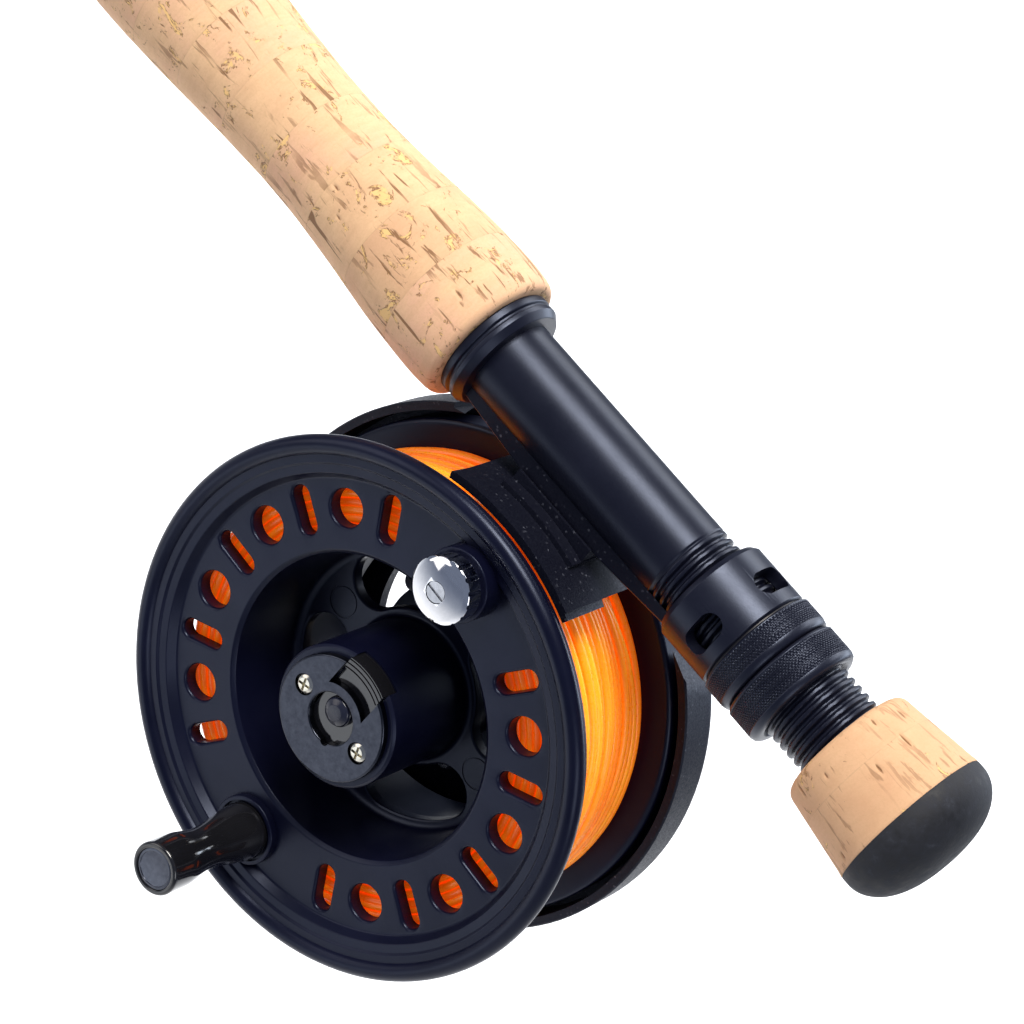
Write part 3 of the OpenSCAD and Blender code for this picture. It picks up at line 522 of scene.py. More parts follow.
CHROME = machined("polished_chrome", (0.80, 0.81, 0.83), (0.92, 0.93, 0.95), 0.07, 0.03)
BRASS = machined("machined_brass", (0.42, 0.30, 0.13), (0.62, 0.46, 0.22), 0.30)
SCREW = machined("screw_silver", (0.52, 0.49, 0.40), (0.78, 0.75, 0.66), 0.20)
GUNMETAL = machined("polished_gunmetal", (0.060, 0.065, 0.082), (0.105, 0.113, 0.138), 0.22, 0.05)
HUB_PLATE = machined("polished_hub_plate", (0.030, 0.033, 0.044), (0.058, 0.063, 0.080), 0.20, 0.06)
GLOSS = metal_paint("gloss_black", (0.006, 0.006, 0.0075), (0.009, 0.009, 0.011), 0.13, spread=0.04,
                    strength=0.04, Coat_Weight=0.6, Coat_Roughness=0.05)
DOME = metal_paint("button_navy", (0.008, 0.009, 0.018), (0.012, 0.014, 0.028), 0.22, spread=0.05)
BLANK = metal_paint("graphite_clear", (0.012, 0.016, 0.014), (0.020, 0.024, 0.022), 0.14, spread=0.04,
                    grain=900, Coat_Weight=1.0, Coat_Roughness=0.04)
SPIGOT = plain_detail("ground_graphite", (0.020, 0.020, 0.021), (0.045, 0.045, 0.047), 0.5, 1500)
THREAD = plain_detail("wrap_thread", (0.012, 0.009, 0.009), (0.026, 0.018, 0.017), 0.16, 1800, 0.3)
FIBRE = plain_detail("fibre_filler", (0.45, 0.33, 0.20), (0.66, 0.52, 0.34), 0.8)
NYLON = plain_detail("nylon_washer", (0.006, 0.006, 0.009), (0.011, 0.011, 0.015), 0.45)
LINING = plain_detail("drag_lining", (0.30, 0.19, 0.10), (0.52, 0.36, 0.20), 0.7, 1200, 0.3)
BACKING = plain_detail("braided_backing", (0.62, 0.60, 0.50), (0.85, 0.83, 0.74), 0.7, 1500, 0.4)

NODE_MATERIALS = {
    "blank": BLANK, "ferrule_spigot": SPIGOT, "ferrule_wrap": THREAD, "winding_check": HOOD_BLACK,
    "hook_keeper": STEEL, "keeper_wraps": THREAD, "seat_bushings": FIBRE, "slip_washer": NYLON,
    "foot_screws": STEEL, "spindle": STEEL, "spindle_nut": STEEL, "pressure_plate": STEEL,
    "drag_washers": LINING, "drag_disc": STEEL, "one_way_clutch": STEEL, "drag_cover": HOOD_BLACK,
    "cover_screws": STEEL, "drive_hub": BRASS, "click_gear": STEEL, "pawl_post": STEEL,
    "click_pawl": BRASS, "pawl_spring": STEEL, "push_spider": STEEL, "drag_springs": STEEL,
    "knob_clip": STEEL, "spool_bushings": BRASS, "backing_line": BACKING, "latch_spring": STEEL,
    "handle_post": STEEL, "counterweight_screw": STEEL, "cork_grip": CORK_PALE, "butt_cork": CORK_PINK,
    "butt_cap": RUBBER, "seat_tube": SEAT_BLACK, "fixed_hood": HOOD_BLACK, "sliding_hood": HOOD_BLACK,
    "lock_nut": HOOD_BLACK, "jam_nut": HOOD_BLACK, "reel_frame": POWDER, "reel_foot": POWDER,
    "drag_knob": HOOD_BLACK, "spool": SPOOL_BLACK, "fly_line": LINE, "spool_latch": GLOSS,
    "hub_cap": GUNMETAL, "hub_cap_screws": SCREW, "handle_knob": GLOSS, "handle_end_cap": GUNMETAL,
    "counterweight": CHROME,
}
for node_name, material in NODE_MATERIALS.items():
    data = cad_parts[node_name].data
    data.materials.clear()
    data.materials.append(material)


def dress(obj, material, body, slot, *nodes):
    """Gives a piece its material and body, and hides the CAD nodes that it stands for. The slot is not used.
    """
    obj.data.materials.clear()
    obj.data.materials.append(material)
    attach(obj, body)
    if nodes:
        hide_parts(*nodes)
    return obj


# ---- Rod: grip and butt ----

SEAT_R = 8.7
cap_low, cap_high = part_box("butt_cap")
BUTT_START, BUTT_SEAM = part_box("butt_cork")[0].x / MM, cap_low.x / MM
BUTT_R = cap_high.y / MM


def ease(t):
    """Goes smoothly from 0 to 1 as t does."""
    return (1 - math.cos(math.pi * max(0.0, min(1.0, t)))) / 2


def blend(a, b, t):
    return a + (b - a) * ease(t)


def grip_radius(x):
    """The grip's full-wells outline, the same as the solid's."""
    from_butt, from_tip = GRIP_END - x, x - GRIP_START
    if from_butt < 6:
        return blend(14.5, 14.8, from_butt / 6)
    if from_butt < 50:
        return blend(14.8, 12.2, (from_butt - 6) / 44)
    if from_butt < 100:
        return blend(12.2, 14.1, (from_butt - 50) / 50)
    if from_tip > 30:
        return blend(11.6, 14.1, (from_tip - 30) / (GRIP_END - GRIP_START - 130))
    if from_tip > 7:
        return blend(13.2, 11.6, (from_tip - 7) / 23)
    return 13.2


def pitted(name, profile, segs, rng_seed, pit_count, pit_zone):
    """A turned cork piece with a faintly uneven skin and a few dug pits."""
    uneven = 0.06
    p = np.array(profile, float)
    a = np.arange(segs) * TAU / segs
    rows = len(p)
    rng = random.Random(rng_seed)
    tangent = np.gradient(p, axis=0)
    tangent /= np.maximum(np.linalg.norm(tangent, axis=1, keepdims=True), 1e-9)
    normal = np.stack([tangent[:, 1], -tangent[:, 0]], axis=1)
    if normal[rows // 2, 0] < 0:
        normal = -normal
    push = np.zeros((rows, segs))
    pit = np.zeros((rows, segs))
    for i in range(rows):
        for k in range(segs):
            v = Vector((p[i, 1] * 0.16, p[i, 0] * math.cos(a[k]) * 0.22, p[i, 0] * math.sin(a[k]) * 0.22))
            push[i, k] = noise.noise(v) * uneven
    for _ in range(pit_count):
        zc, ac = rng.uniform(*pit_zone), rng.uniform(0, TAU)
        long, wide, deep = rng.uniform(0.5, 1.9), rng.uniform(0.16, 0.36), rng.uniform(0.2, 0.5)
        dz = (p[:, 1:2] - zc) / long
        da = ((a[None, :] - ac + math.pi) % TAU - math.pi) * p[:, 0:1] / wide
        shape = np.exp(-(dz ** 2 + da ** 2) ** 1.5)
        wobble = 0.75 + 0.5 * rng.random()
        push -= deep * shape * wobble
        pit = np.maximum(pit, shape)
    r = p[:, 0:1] + normal[:, 0:1] * push
    z = p[:, 1:2] + normal[:, 1:2] * push
    verts = np.empty((rows, segs, 3))
    verts[:, :, 0] = r * np.cos(a)
    verts[:, :, 1] = r * np.sin(a)
    verts[:, :, 2] = z
    obj = new_object(name, verts.reshape(-1, 3), ring_faces(rows, segs, True), ROD, merge=False)
    layer = obj.data.attributes.new("pit", "FLOAT", "POINT")
    layer.data.foreach_set("value", pit.astype(np.float32).ravel())
    return shade(obj, 50, weighted=False)


def spread(points, step):
    """Adds points along a profile so that none of its parts is longer than the step."""
    out = []
    for (r0, z0), (r1, z1) in zip(points, points[1:] + points[:1]):
        count = max(1, int(math.hypot(r1 - r0, z1 - z0) / step))
        out += [(r0 + (r1 - r0) * k / count, z0 + (z1 - z0) * k / count) for k in range(count)]
    return out


def cork_grip():
    """One run of cork rings, with a hair-line groove at each glue line and a pocket for the collar."""
    bore, pocket_r, end_round = 6.0, 11.0, 1.7
    outer = []
    x = GRIP_START + 0.8
    while x < GRIP_END - end_round:
        outer.append((grip_radius(x), x))
        x += 0.55
    for k in range(1, GRIP_RINGS):
        seam_x = GRIP_START + k * RING_LEN
        outer = [q for q in outer if abs(q[1] - seam_x) > 0.3]
        r = grip_radius(seam_x)
        outer += [(r, seam_x - 0.12), (r - 0.05, seam_x), (r, seam_x + 0.12)]
    outer.sort(key=lambda q: q[1])
    end_r = grip_radius(GRIP_END) - 0.05
    loop = [(bore, GRIP_START), (11.4, GRIP_START), (11.6, GRIP_START + 0.8)] + outer
    loop += arc(end_r - end_round, GRIP_END - end_round, end_round, 0, 90, 10)
    loop += [(pocket_r, GRIP_END), (pocket_r, GRIP_END - RING_LEN), (bore, GRIP_END - RING_LEN)]
    return pitted("grip_cork_rings", spread(loop, 0.7), 220, 7, 45, (GRIP_START + 1, GRIP_END - 0.5))


def butt_cork():
    bore, pocket = 6.0, 10
    loop = [(SEAT_R, BUTT_START)] + arc(10.8, BUTT_START + 2.2, 2.2, -90, -8, 8)
    loop += [(BUTT_R - 0.25, BUTT_SEAM - 1.4), (BUTT_R, BUTT_SEAM - 0.25), (BUTT_R - 0.08, BUTT_SEAM)]
    loop += [(bore, BUTT_SEAM), (bore, BUTT_START + pocket), (SEAT_R, BUTT_START + pocket)]
    return pitted("butt_cork_rings", spread(loop, 0.45), 220, 11, 20, (BUTT_START + 1, BUTT_SEAM - 0.5))


def butt_cap():
    """The rubber end: a short straight edge and a blunt dome."""
    edge, length = 1.4, cap_high.x / MM - BUTT_SEAM
    loop = [(0, 0.02), (BUTT_R - 0.1, 0.02), (BUTT_R, 0.2), (BUTT_R, edge)]
    for k in range(1, 40):
        a = math.radians(90 * k / 40)
        loop.append((BUTT_R * math.cos(a) ** 0.8, edge + (length - edge) * math.sin(a)))
    loop.append((0, length))
    return lathe("butt_cap_rubber", [(r, z + BUTT_SEAM) for r, z in loop], ROD, 200, closed=False)


dress(cork_grip(), CORK_PALE, "rod", "cork", "cork_grip")
dress(butt_cork(), CORK_PINK, "rod", "cork", "butt_cork")
dress(butt_cap(), RUBBER, "rod", "rubber", "butt_cap")


# ---- Reel seat ----

PITCH = 1.8
SEAT_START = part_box("seat_tube")[0].x / MM
SEAT_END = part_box("seat_tube")[1].x / MM
THREAD_START = REEL_X + 24
THREAD_END = BUTT_START + 1.5


def rings_of(radii, heights, a):
    """Rows of points at the angles a: radii has a row for each height, or one value for each."""
    r = np.broadcast_to(np.reshape(radii, (len(heights), -1)), (len(heights), len(a)))
    z = np.broadcast_to(np.reshape(heights, (-1, 1)), r.shape)
    return np.stack([r * np.cos(a), r * np.sin(a), z], axis=2)


def threaded_seat():
    """The seat tube with a real helical thread, whose ends fade into the plain tube."""
    segs, bore, depth = 128, 7.3, 0.78
    z = [SEAT_START, GRIP_END + 1, GRIP_END + 4.6]
    z += list(np.arange(GRIP_END + 8, THREAD_START - 2, 4.0))
    z += list(np.arange(THREAD_START - 2, THREAD_END, PITCH / 14))
    z += [THREAD_END, SEAT_END]
    z = np.array(z)
    a = np.arange(segs) * TAU / segs
    turn = (z[:, None] - THREAD_START) / PITCH - a[None, :] / TAU
    phase = turn - np.floor(turn)
    saw = np.clip(1.25 - np.abs(phase - 0.5) * 3.4, 0, 1)
    fade = np.clip((z - THREAD_START) / 1.2, 0, 1) * np.clip((THREAD_END - z) / 1.0, 0, 1)
    outer = rings_of(SEAT_R - depth * (saw * saw * (3 - 2 * saw)) * fade[:, None], z, a)
    inner = rings_of([bore, bore], [SEAT_END, SEAT_START], a)
    verts = np.concatenate([outer, inner]).reshape(-1, 3)
    obj = new_object("seat_tube_threaded", verts, ring_faces(len(z) + 2, segs, True), ROD)
    return shade(obj, 45, weighted=False)


def seat_collar():
    """The stepped ring at the end of the grip, with a sleeve inside the last cork ring."""
    bore, sleeve_r, sleeve_start, end = SEAT_R + 0.02, 10.98, -12.6, 4.8
    profile = soft([
        (bore, sleeve_start), (sleeve_r, sleeve_start), (sleeve_r, 0.0), (12.0, 0.0, 0.35), (12.0, 1.55, 0.3),
        (11.45, 1.8, 0.1), (11.45, 2.25, 0.1), (11.9, 2.45, 0.25), (11.9, 3.4, 0.25), (10.9, end, 0.3),
        (bore, end)])
    return lathe("seat_collar", [(r, z + GRIP_END) for r, z in profile], ROD, 160)


def knurled(node, front, back, body):
    """A round nut with a band of diamond knurling between chamfers of the given lengths."""
    low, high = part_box(node)
    radius, x0, length = high.y / MM, low.x / MM, (high.x - low.x) / MM
    segs, diamonds, lead = 584, 97, 0.72
    knurl_from, knurl_to = front + 0.15, length - back - 0.15
    z = [0.0, front * 0.35, front]
    z += list(np.linspace(knurl_from, knurl_to, int((knurl_to - knurl_from) / 0.125)))
    z += [length - back, length - back * 0.35, length]
    z = np.array(z)
    a = np.arange(segs) * TAU / segs
    base = np.interp(z, [0, front * 0.35, front, length - back, length - back * 0.35, length],
                     [radius - 0.75, radius - 0.3, radius, radius, radius - 0.25, radius - 0.9])
    u = a[None, :] / TAU * diamonds + z[:, None] / lead
    v = a[None, :] / TAU * diamonds - z[:, None] / lead
    groove = np.minimum(1 - np.abs(((u % 1) - 0.5) * 2), 1 - np.abs(((v % 1) - 0.5) * 2))
    inside = np.clip((z - knurl_from) / 0.2, 0, 1) * np.clip((knurl_to - z) / 0.2, 0, 1)
    depth = 0.26 * (1 - np.clip(groove * 2.2, 0, 1)) * inside[:, None]
    outer = rings_of(base[:, None] - depth, z, a)
    bore = SEAT_R + 0.08
    inner = rings_of([bore + 0.7, bore, bore, bore + 0.3], [length, length - 0.7, 0.4, 0.0], a)
    verts = np.concatenate([outer, inner]).reshape(-1, 3) + np.array([0, 0, x0])
    obj = new_object(node + "_knurled", verts, ring_faces(len(z) + 4, segs, True), ROD)
    shade(obj, 40, weighted=False)
    return dress(obj, HOOD_BLACK, body, "black_anodised", node)


dress(threaded_seat(), SEAT_BLACK, "rod", "black_anodised", "seat_tube")
dress(seat_collar(), HOOD_BLACK, "rod", "black_anodised", "fixed_hood")
knurled("lock_nut", 0.35, 1.5, "nut")
knurled("jam_nut", 0.6, 1.3, "jam")
dress(soften("sliding_hood", 0.22), HOOD_BLACK, "hood", "black_anodised")


# ---- Reel: spool. Heights are along the axle, from the rod's plane towards the crank side. ----

FACE = 19.0
CUP_FLOOR = 2.5
POST_R, POST_FOOT, POST_TOP = 13.6, -9.0, 25.0
ARBOR_R = 30.6
FLANGE_BACK, REAR_FLANGE, SKIRT_END = 16.0, -12.0, -18.6
RIM_R, RIM_BEAD = 51.5, 1.9
HOLE_CIRCLE_R = 37.6
HANDLE_ARM = 38.8
BOSS_R = 6.9
PAD_AT, PAD_R = 20.9, 3.02


def on_spool(x=0.0, y=0.0, turn=0.0):
    """A place on the spool: turned about its axle, then moved across."""
    return SPOOL @ Matrix.Rotation(turn, 4, "Z") @ Matrix.Translation((x * MM, y * MM, 0))


def spool_profile():
    """The spool's section, from its bore round the back, flanges and rim to the cup and the post."""
    bore, web, well_r, well, skirt_r = 5.5, 0.1, 27.6, -14.2, 48.6
    back = soft([
        (bore, POST_FOOT), (POST_R, POST_FOOT, 0.4), (POST_R, web), (well_r, web, 0.3), (well_r, well, 0.4),
        (46.4, well, 0.4), (46.4, SKIRT_END, 0.5), (skirt_r, SKIRT_END, 0.6), (skirt_r, REAR_FLANGE, 1.05),
        (46.6, REAR_FLANGE, 0.5), (ARBOR_R, REAR_FLANGE, 0.3), (ARBOR_R, FLANGE_BACK, 0.3),
        (49.0, FLANGE_BACK, 0.35), (49.0, 17.9, 0.2), (50.4, 17.9, 0.35), (50.4, 18.98)])[:-1]
    rim = arc(RIM_R - RIM_BEAD, 20.7, RIM_BEAD, -65, 158, 22)
    front = soft([
        rim[-1], (46.4, 21.4, 0.3), (46.0, 21.0, 0.2), (44.4, 20.8, 0.35), (43.2, FACE, 0.7),
        (29.9, FACE, 0.6), (29.1, 18.3, 0.4), (well_r, CUP_FLOOR, 1.6), (POST_R, CUP_FLOOR, 1.0),
        (POST_R, 24.5, 0.3), (13.1, POST_TOP, 0.2), (bore, POST_TOP)], steps=5, closed=False)[1:]
    return back + rim + front


def face_openings():
    """Nine holes and slots each side of the face, by turns, and the four windows in the cup's floor."""
    mouth = [(14.0, 0.0), (18.3, 0.0), (18.6, 0.06), (18.85, 0.22), (FACE, 0.5), (19.6, 1.3)]
    parts = []
    for side in (0, math.pi):
        for k in range(-4, 5):
            turn = side + math.radians(15 * k)
            if k % 2 == 0:
                parts.append(prism(stadium(HOLE_CIRCLE_R, 5.6, 1.9, turn), mouth))
            else:
                parts.append(prism(stadium(HOLE_CIRCLE_R, 0.0, 3.6, turn, 20), mouth))
    for k in range(4):
        parts.append(prism(kidney(20.6, 5.3, 19, math.radians(45 + 90 * k)),
                           [(-1.5, 0), (2.0, 0.0), (2.3, 0.12), (CUP_FLOOR, 0.4), (3.2, 1.2)]))
    return parts


def spool_body():
    spool = lathe("spool_body", spool_profile(), SPOOL, 288, shaded=False)
    for at, top in ((-HANDLE_ARM, 20.6), (HANDLE_ARM, 23.8)):
        boss = soft([(0, 16.6), (BOSS_R, 16.6), (BOSS_R, top, 0.3), (0, top)])
        combine(spool, lathe("boss", boss, on_spool(y=at), 96, shaded=False), "UNION")
    combine(spool, joined("cutters", face_openings(), SPOOL), "DIFFERENCE")

    # A round pad in a shallow ring on each of two spokes.
    rings = [prism(stadium(PAD_AT, 0, 3.3, side, 18), [(2.36, 0), (3.0, 0)]) for side in (0, math.pi)]
    combine(spool, joined("cutters", rings, SPOOL), "DIFFERENCE")
    for side in (0, math.pi):
        pad = soft([(0, 2.2), (PAD_R, 2.2), (PAD_R, CUP_FLOOR, 0.08), (0, CUP_FLOOR)])
        combine(spool, lathe("pad", pad, on_spool(PAD_AT, turn=side), 48, shaded=False), "UNION")

    # The latch's channel across the post, and the notch for its spring.
    for outline in (block(-4.8, 4.8, -7.6, 15.6), block(-1.4, 1.4, -11.1, -7)):
        combine(spool, joined("cutters", [prism(outline, [(22.2, 0), (26, 0)])], SPOOL), "DIFFERENCE")
    recess = [(0, 19.6), (6.1, 19.6), (6.1, 22), (0, 22)]
    combine(spool, lathe("recess", recess, on_spool(y=-HANDLE_ARM), 96, shaded=False), "DIFFERENCE")
    return shade(spool, 30)


dress(spool_body(), SPOOL_BLACK, "reel_spool", "spool_black", "spool")


# ---- Wound line ----

LINE_R = 43.8
STRAND_R = 0.95


def tube_mesh(paths, radius, sides=8):
    """Closed tubes along closed loops of points, each with a value for its tone and painted shade."""
    verts, faces, tone_and_shades = [], [], []
    for points, tone_and_shade in paths:
        p = np.array(points, float)
        n = len(p)
        tangent = np.roll(p, -1, axis=0) - np.roll(p, 1, axis=0)
        tangent /= np.linalg.norm(tangent, axis=1, keepdims=True)
        out = p * np.array([1, 1, 0])
        out /= np.linalg.norm(out, axis=1, keepdims=True)
        across = np.cross(tangent, out)
        across /= np.linalg.norm(across, axis=1, keepdims=True)
        out = np.cross(across, tangent)
        base = len(verts)
        for k in range(sides):
            b = TAU * k / sides
            verts += list(p + radius * (math.cos(b) * out + math.sin(b) * across))
            tone_and_shades += list(np.full(n, tone_and_shade))
        for k in range(sides):
            m = (k + 1) % sides
            for i in range(n):
                j = (i + 1) % n
                faces.append((base + k * n + i, base + k * n + j, base + m * n + j, base + m * n + i))
    return verts, faces, tone_and_shades


def wound_line():
    """Turns of fly line: slightly crossing strands outside, and stacked turns against each flange."""
    rng = random.Random(5)
    paths = []
    steps = 160
    a = np.arange(steps) * TAU / steps
    low, high = REAR_FLANGE + STRAND_R + 0.05, FLANGE_BACK - STRAND_R - 0.05

    def wave(amount, terms=(1, 2, 3)):
        total = np.zeros(steps)
        for t in terms:
            total += rng.uniform(-1, 1) * np.sin(t * a + rng.uniform(0, TAU)) / t ** 0.5
        return amount * total

    def add(r, z, tone_and_shade):
        paths.append((np.stack([r * np.cos(a), r * np.sin(a), z], axis=1), tone_and_shade))

    # An even layer, a looser one over it, and the strands that cross on top.
    # Their tones vary at random, with painted shade: the lower the layer, the darker and redder its strands.
    for k in range(15):
        n = low + (high - low) * k / 14
        add(41.2 + wave(0.1), np.clip(n + wave(0.25), low, high), rng.uniform(0.0, 0.25))
    for k in range(14):
        n = low + (high - low) * (k + 0.5) / 14
        r = 42.35 + wave(0.18)
        add(np.minimum(r, LINE_R - STRAND_R), np.clip(n + wave(0.85, (1, 2, 3, 5)), low, high),
            rng.uniform(0.2, 0.9))
    for k in range(8):
        n = low + (high - low) * (k + 0.5) / 8
        r = 42.75 + wave(0.3, (1, 2, 4))
        add(np.clip(r, 42.0, LINE_R - STRAND_R), np.clip(n + wave(2.2, (1, 2, 3)), low, high),
            rng.uniform(0.6, 1.0))
    # The turns that show through the holes of the face, and those against the rear flange.
    # These turns get dark, red tones as painted shade.
    for n, direction in ((FLANGE_BACK - STRAND_R - 0.04, -1), (REAR_FLANGE + STRAND_R + 0.04, 1)):
        radius = 33.3
        while radius < 41.0:
            add(radius + wave(0.25), n + direction * np.abs(wave(0.35)), rng.uniform(0.0, 0.5))
            radius += 1.6
    verts, faces, tone_and_shades = tube_mesh(paths, STRAND_R)
    obj = new_object("fly_line_turns", verts, faces, SPOOL, merge=False)
    layer = obj.data.attributes.new("tone_and_shade", "FLOAT", "POINT")
    layer.data.foreach_set("value", np.array(tone_and_shades, np.float32))
    return shade(obj, 60, weighted=False)


def line_core():
    """The body of line under the strands."""
    inner, outer, back, front = 32.4, 40.9, -11.0, 15.0
    profile = soft([(inner, back), (outer, back, 0.4), (outer, front, 0.4), (inner, front)])
    return lathe("fly_line_core", profile, SPOOL, 120)


dress(wound_line(), LINE, "reel_spool", "line", "fly_line")
dress(line_core(), LINE, "reel_spool", "line")


# ---- Hub: cap, latch and screws ----

CAP_BORE, CAP_R, CAP_FACE = 5.0, 12.1, 26.4
SCREW_AT = 8.1


def hub_cap():
    """The round plate on the post, with the latch's channel, its two screw holes and a nick in the bore."""
    hub = lathe("hub_cap_plate", soft([
        (CAP_BORE, POST_TOP + 0.02), (CAP_R, POST_TOP + 0.02), (CAP_R, CAP_FACE, 0.45),
        (CAP_BORE, CAP_FACE, 0.3)]), SPOOL, 144, shaded=False)

    channel_half, channel_end = 4.9, 7.0

    def channel(_):
        across = [-channel_half + 2 * channel_half * k / 12 for k in range(13)]
        bottom = [(x, math.sqrt(channel_end ** 2 - x * x)) for x in across]
        return bottom + [(channel_half, 20), (-channel_half, 20)]

    combine(hub, joined("cutters", [prism(channel, [(20, 0), (30, 0)])], SPOOL), "DIFFERENCE")
    for side in (-1, 1):
        for r, z0 in ((1.1, 20), (2.1, 25.4)):
            hole = [(0, z0), (r, z0), (r, 30), (0, 30)]
            combine(hub, lathe("bore", hole, on_spool(SCREW_AT * side), 48, shaded=False), "DIFFERENCE")
    nick = [(0, 20), (0.9, 20), (0.9, 30), (0, 30)]
    combine(hub, lathe("bore", nick, on_spool(4.8, turn=math.radians(-66)), 32, shaded=False), "DIFFERENCE")
    bevel = hub.modifiers.new("bevel", "BEVEL")
    bevel.width = 0.12 * MM
    bevel.segments = 2
    bevel.limit_method = "ANGLE"
    bevel.angle_limit = math.radians(40)
    return shade(hub, 32)


def latch_button():
    foot, r = 24.8, 2.95
    profile = soft([(0, foot), (r, foot), (r, 25.5, 0.3), (2.6, 26.3, 0.5), (1.6, 26.85, 0.5), (0, 27.0)],
                   closed=False)
    return lathe("latch_button", profile, on_spool(y=1.9), 64, closed=False)


def cap_screw(side):
    """A domed screw with a cross recess."""
    foot, shank_r, seat, head_r = 18, 1.08, 25.42, 2.0
    place = on_spool(SCREW_AT * side) @ Matrix.Rotation(math.radians(20), 4, "Z")
    head = lathe("cap_screw_%d" % (1 if side < 0 else 2), soft([
        (0, foot), (shank_r, foot), (shank_r, seat), (head_r, seat), (head_r, 26.0, 0.15), (1.3, 26.45, 0.3),
        (0, 26.5)], closed=False), place, 48, closed=False, shaded=False)
    for turn in (0, math.pi / 2):
        arm = prism(block(-1.25, 1.25, -0.24, 0.24), [(25.85, -0.12), (26.2, 0), (27, 0.05)])
        combine(head, joined("cutters", [arm], place @ Matrix.Rotation(turn, 4, "Z")), "DIFFERENCE")
    return dress(shade(head, 30), SCREW, "reel_spool", "steel")


dress(hub_cap(), HUB_PLATE, "reel_spool", "gunmetal", "hub_cap")
dress(soften("spool_latch", 0.14), GLOSS, "latch", "gloss_black")
dress(latch_button(), DOME, "latch", "gloss_black")
screws = [cap_screw(side) for side in (-1, 1)]
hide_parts("hub_cap_screws")


# ---- Crank handle and counterweight ----

knob_box_low, knob_box_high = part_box("handle_knob")
KNOB_BASE, KNOB_END = -knob_box_high.y / MM, -knob_box_low.y / MM
KNOB_BORE, KNOB_R, KNOB_WAIST = 1.96, 5.2, 4.15


def knob_radius(t):
    """The knob's waisted outline, with t from 0 at the spool to 1 at the end."""
    if t < 0.52:
        return blend(5.6, KNOB_WAIST, t / 0.52)
    if t < 0.84:
        return blend(KNOB_WAIST, KNOB_R, (t - 0.52) / 0.32)
    return KNOB_R


def handle_grip():
    """The crank's knob, hollow at the end for its disc."""
    edge, ledge, post_end = 0.6, 1.2, 42.1
    span = KNOB_END - KNOB_BASE - 1.5
    loop = [(KNOB_BORE, KNOB_BASE), (5.25, KNOB_BASE)]
    loop += [(knob_radius(k / 48), KNOB_BASE + 0.35 + span * k / 48) for k in range(49)]
    loop += arc(KNOB_R - edge, KNOB_END - edge, edge, 0, 90, 6)
    loop += [(4.3, KNOB_END), (4.12, KNOB_END - 0.12), (4.12, KNOB_END - ledge), (3.3, KNOB_END - ledge),
             (3.3, post_end), (KNOB_BORE, post_end)]
    return lathe("handle_grip", loop, on_spool(y=-HANDLE_ARM), 128, angle=50)


def handle_end_disc():
    back, face = 44.85, 45.7
    profile = soft([(0, back), (4.08, back), (4.08, 45.75, 0.12), (3.5, 45.85, 0.1), (3.4, face, 0.08),
                    (0, face)], closed=False)
    return lathe("handle_end_disc", profile, on_spool(y=-HANDLE_ARM), 96, closed=False)


def counterweight():
    """A fluted knob with a faintly domed face round the head of its screw."""
    place = on_spool(y=HANDLE_ARM)
    bore, back, radius, shoulder, face, seat_r, seat = 1.5, 23.85, 6.3, 28.1, 29.6, 2.1, 28.9
    dome = []
    for k in range(11):
        r = blend(5.5, seat_r, k / 10)
        dome.append((r, face - (r * r - seat_r * seat_r) / 29))
    profile = soft([(bore, back), (5.4, back, 0.2), (radius, 24.7, 0.3), (radius, shoulder, 0.35), *dome,
                    (2.0, seat), (bore, seat)])
    weight = lathe("counterweight_knob", profile, place, 192, shaded=False)
    flutes = [prism(stadium(6.9, 0, 0.8, TAU * k / 16, 12), [(22, 0), (31, 0)]) for k in range(16)]
    combine(weight, joined("cutters", flutes, place), "DIFFERENCE")
    return shade(weight, 30)


dress(handle_grip(), GLOSS, "handle", "gloss_black", "handle_knob")
dress(handle_end_disc(), GUNMETAL, "handle", "gunmetal", "handle_end_cap")
dress(counterweight(), CHROME, "reel_spool", "bright", "counterweight")


# ---- Frame, foot and drag knob ----

dress(soften("reel_frame", 0.25), POWDER, "rod", "powder")
dress(soften("reel_foot", 0.18), POWDER, "rod", "powder")
dress(soften("drag_knob", 0.25), HOOD_BLACK, "knob", "black_anodised")


# ---- Floor, light and camera ----

FLOOR_Z = cad_low.z - 0.35


def pale_floor():
    half = 6.0
    mesh = bpy.data.meshes.new("floor")
    corners = [(x * half, y * half, FLOOR_Z) for x, y in ((-1, -1), (1, -1), (1, 1), (-1, 1))]
    mesh.from_pydata(corners, [], [(0, 1, 2, 3)])
    look = Shader("pale_floor", (0.93, 0.93, 0.93), 0.9)
    look.colour(look.ramp(look.noise(3, 2), [(0.3, (0.92, 0.92, 0.92)), (0.7, (0.94, 0.94, 0.94))]))
    mesh.materials.append(look.mat)
    obj = bpy.data.objects.new("floor", mesh)
    bpy.context.scene.collection.objects.link(obj)
    return obj


def studio_world():
    """A weak bluish light from all round."""
    world = bpy.data.worlds.new("studio")
    bpy.context.scene.world = world
    world.use_nodes = True
    background = world.node_tree.nodes["Background"].inputs
    background["Color"].default_value = (0.62, 0.72, 1.0, 1)
    background["Strength"].default_value = 0.24


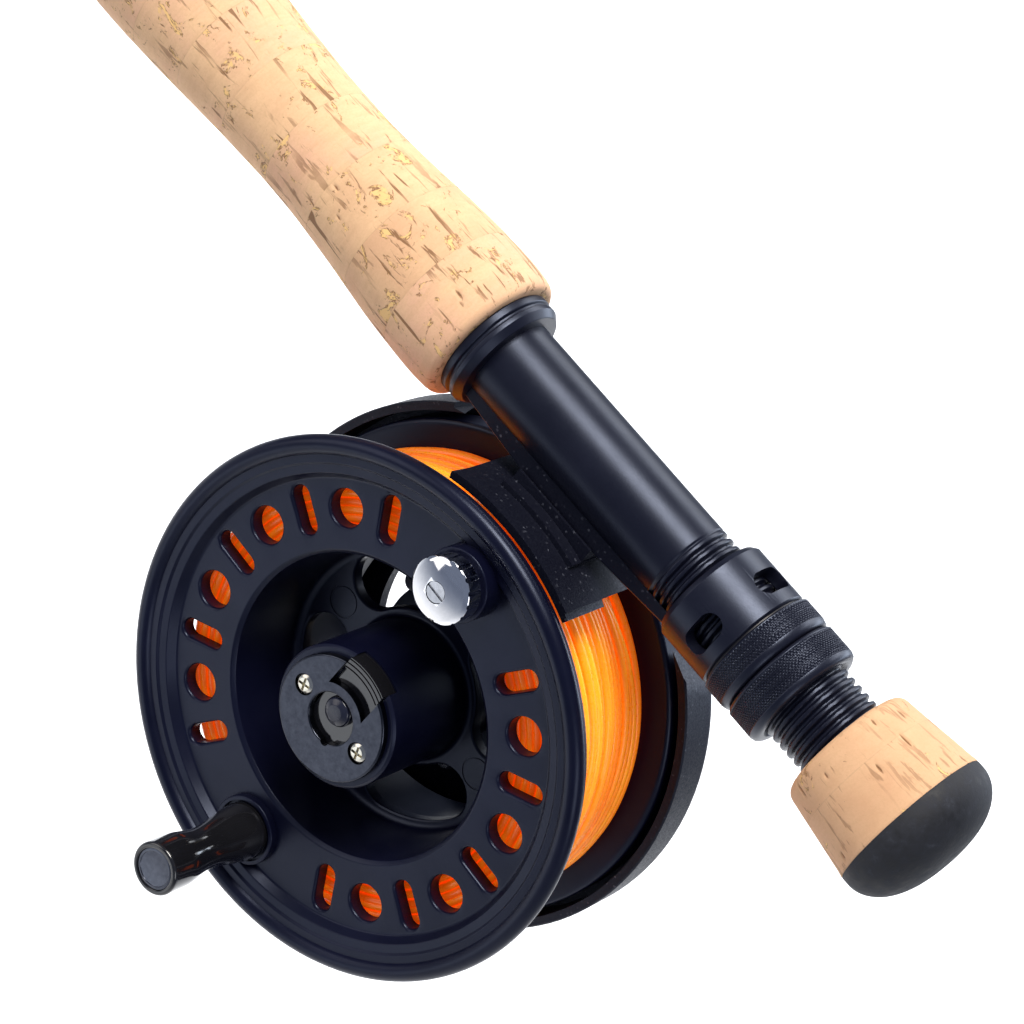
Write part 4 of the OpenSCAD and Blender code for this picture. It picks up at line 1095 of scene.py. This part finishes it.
def area_light(name, position, target, size, power, colour, spread):
    """A soft box that the camera doesn't see, pointed at the target."""
    data = bpy.data.lights.new(name, "AREA")
    data.energy = power
    data.color = colour
    data.shape = "RECTANGLE"
    data.size, data.size_y = size
    data.spread = math.radians(spread)
    obj = bpy.data.objects.new(name, data)
    bpy.context.scene.collection.objects.link(obj)
    obj.location = position
    obj.visible_camera = False
    obj.rotation_mode = "QUATERNION"
    obj.rotation_quaternion = (Vector(target) - Vector(position)).to_track_quat("-Z", "Y")


def add_camera():
    """The photograph's angle: a long lens from above, the crank side and a little from the butt."""
    data = bpy.data.cameras.new("camera")
    data.sensor_width = 36
    data.lens = 105.6
    data.clip_start, data.clip_end = 0.01, 50
    obj = bpy.data.objects.new("camera", data)
    bpy.context.scene.collection.objects.link(obj)
    right, up, back = (0.6259, 0.5744, 0.5276), (-0.7308, 0.1957, 0.6539), (0.2724, -0.7948, 0.5422)
    place = (0.2616, -0.4331, 0.2745)
    rows = [[right[i], up[i], back[i], place[i]] for i in range(3)] + [[0, 0, 0, 1]]
    obj.matrix_world = Matrix(rows)
    bpy.context.scene.camera = obj


pale_floor()
studio_world()
focus = (0.10, 0.0, -0.03)
area_light("key", (-0.02, -0.30, 0.85), focus, (0.50, 0.40), 2.1, (1.0, 0.955, 0.89), 70)
area_light("backdrop", (-0.2, 1.25, 0.75), (-0.2, 1.0, FLOOR_Z), (1.8, 1.3), 26, (0.97, 0.985, 1.0), 120)
area_light("edge", (0.5, 1.3, 0.25), focus, (1.2, 0.5), 1.1, (0.78, 0.87, 1.0), 60)
area_light("side", (1.1, -0.5, 0.15), focus, (0.5, 0.5), 0.25, (0.95, 0.96, 1.0), 60)
area_light("fill", (-0.75, -0.75, 0.12), focus, (0.8, 0.8), 0.9, (1.0, 0.94, 0.90), 90)
area_light("card", (-0.01, -0.34, -0.28), (0.10, -0.02, -0.06), (0.18, 0.18), 0.10, (0.92, 0.96, 1.0), 180)
add_camera()
bpy.context.scene.view_settings.view_transform = "Standard"
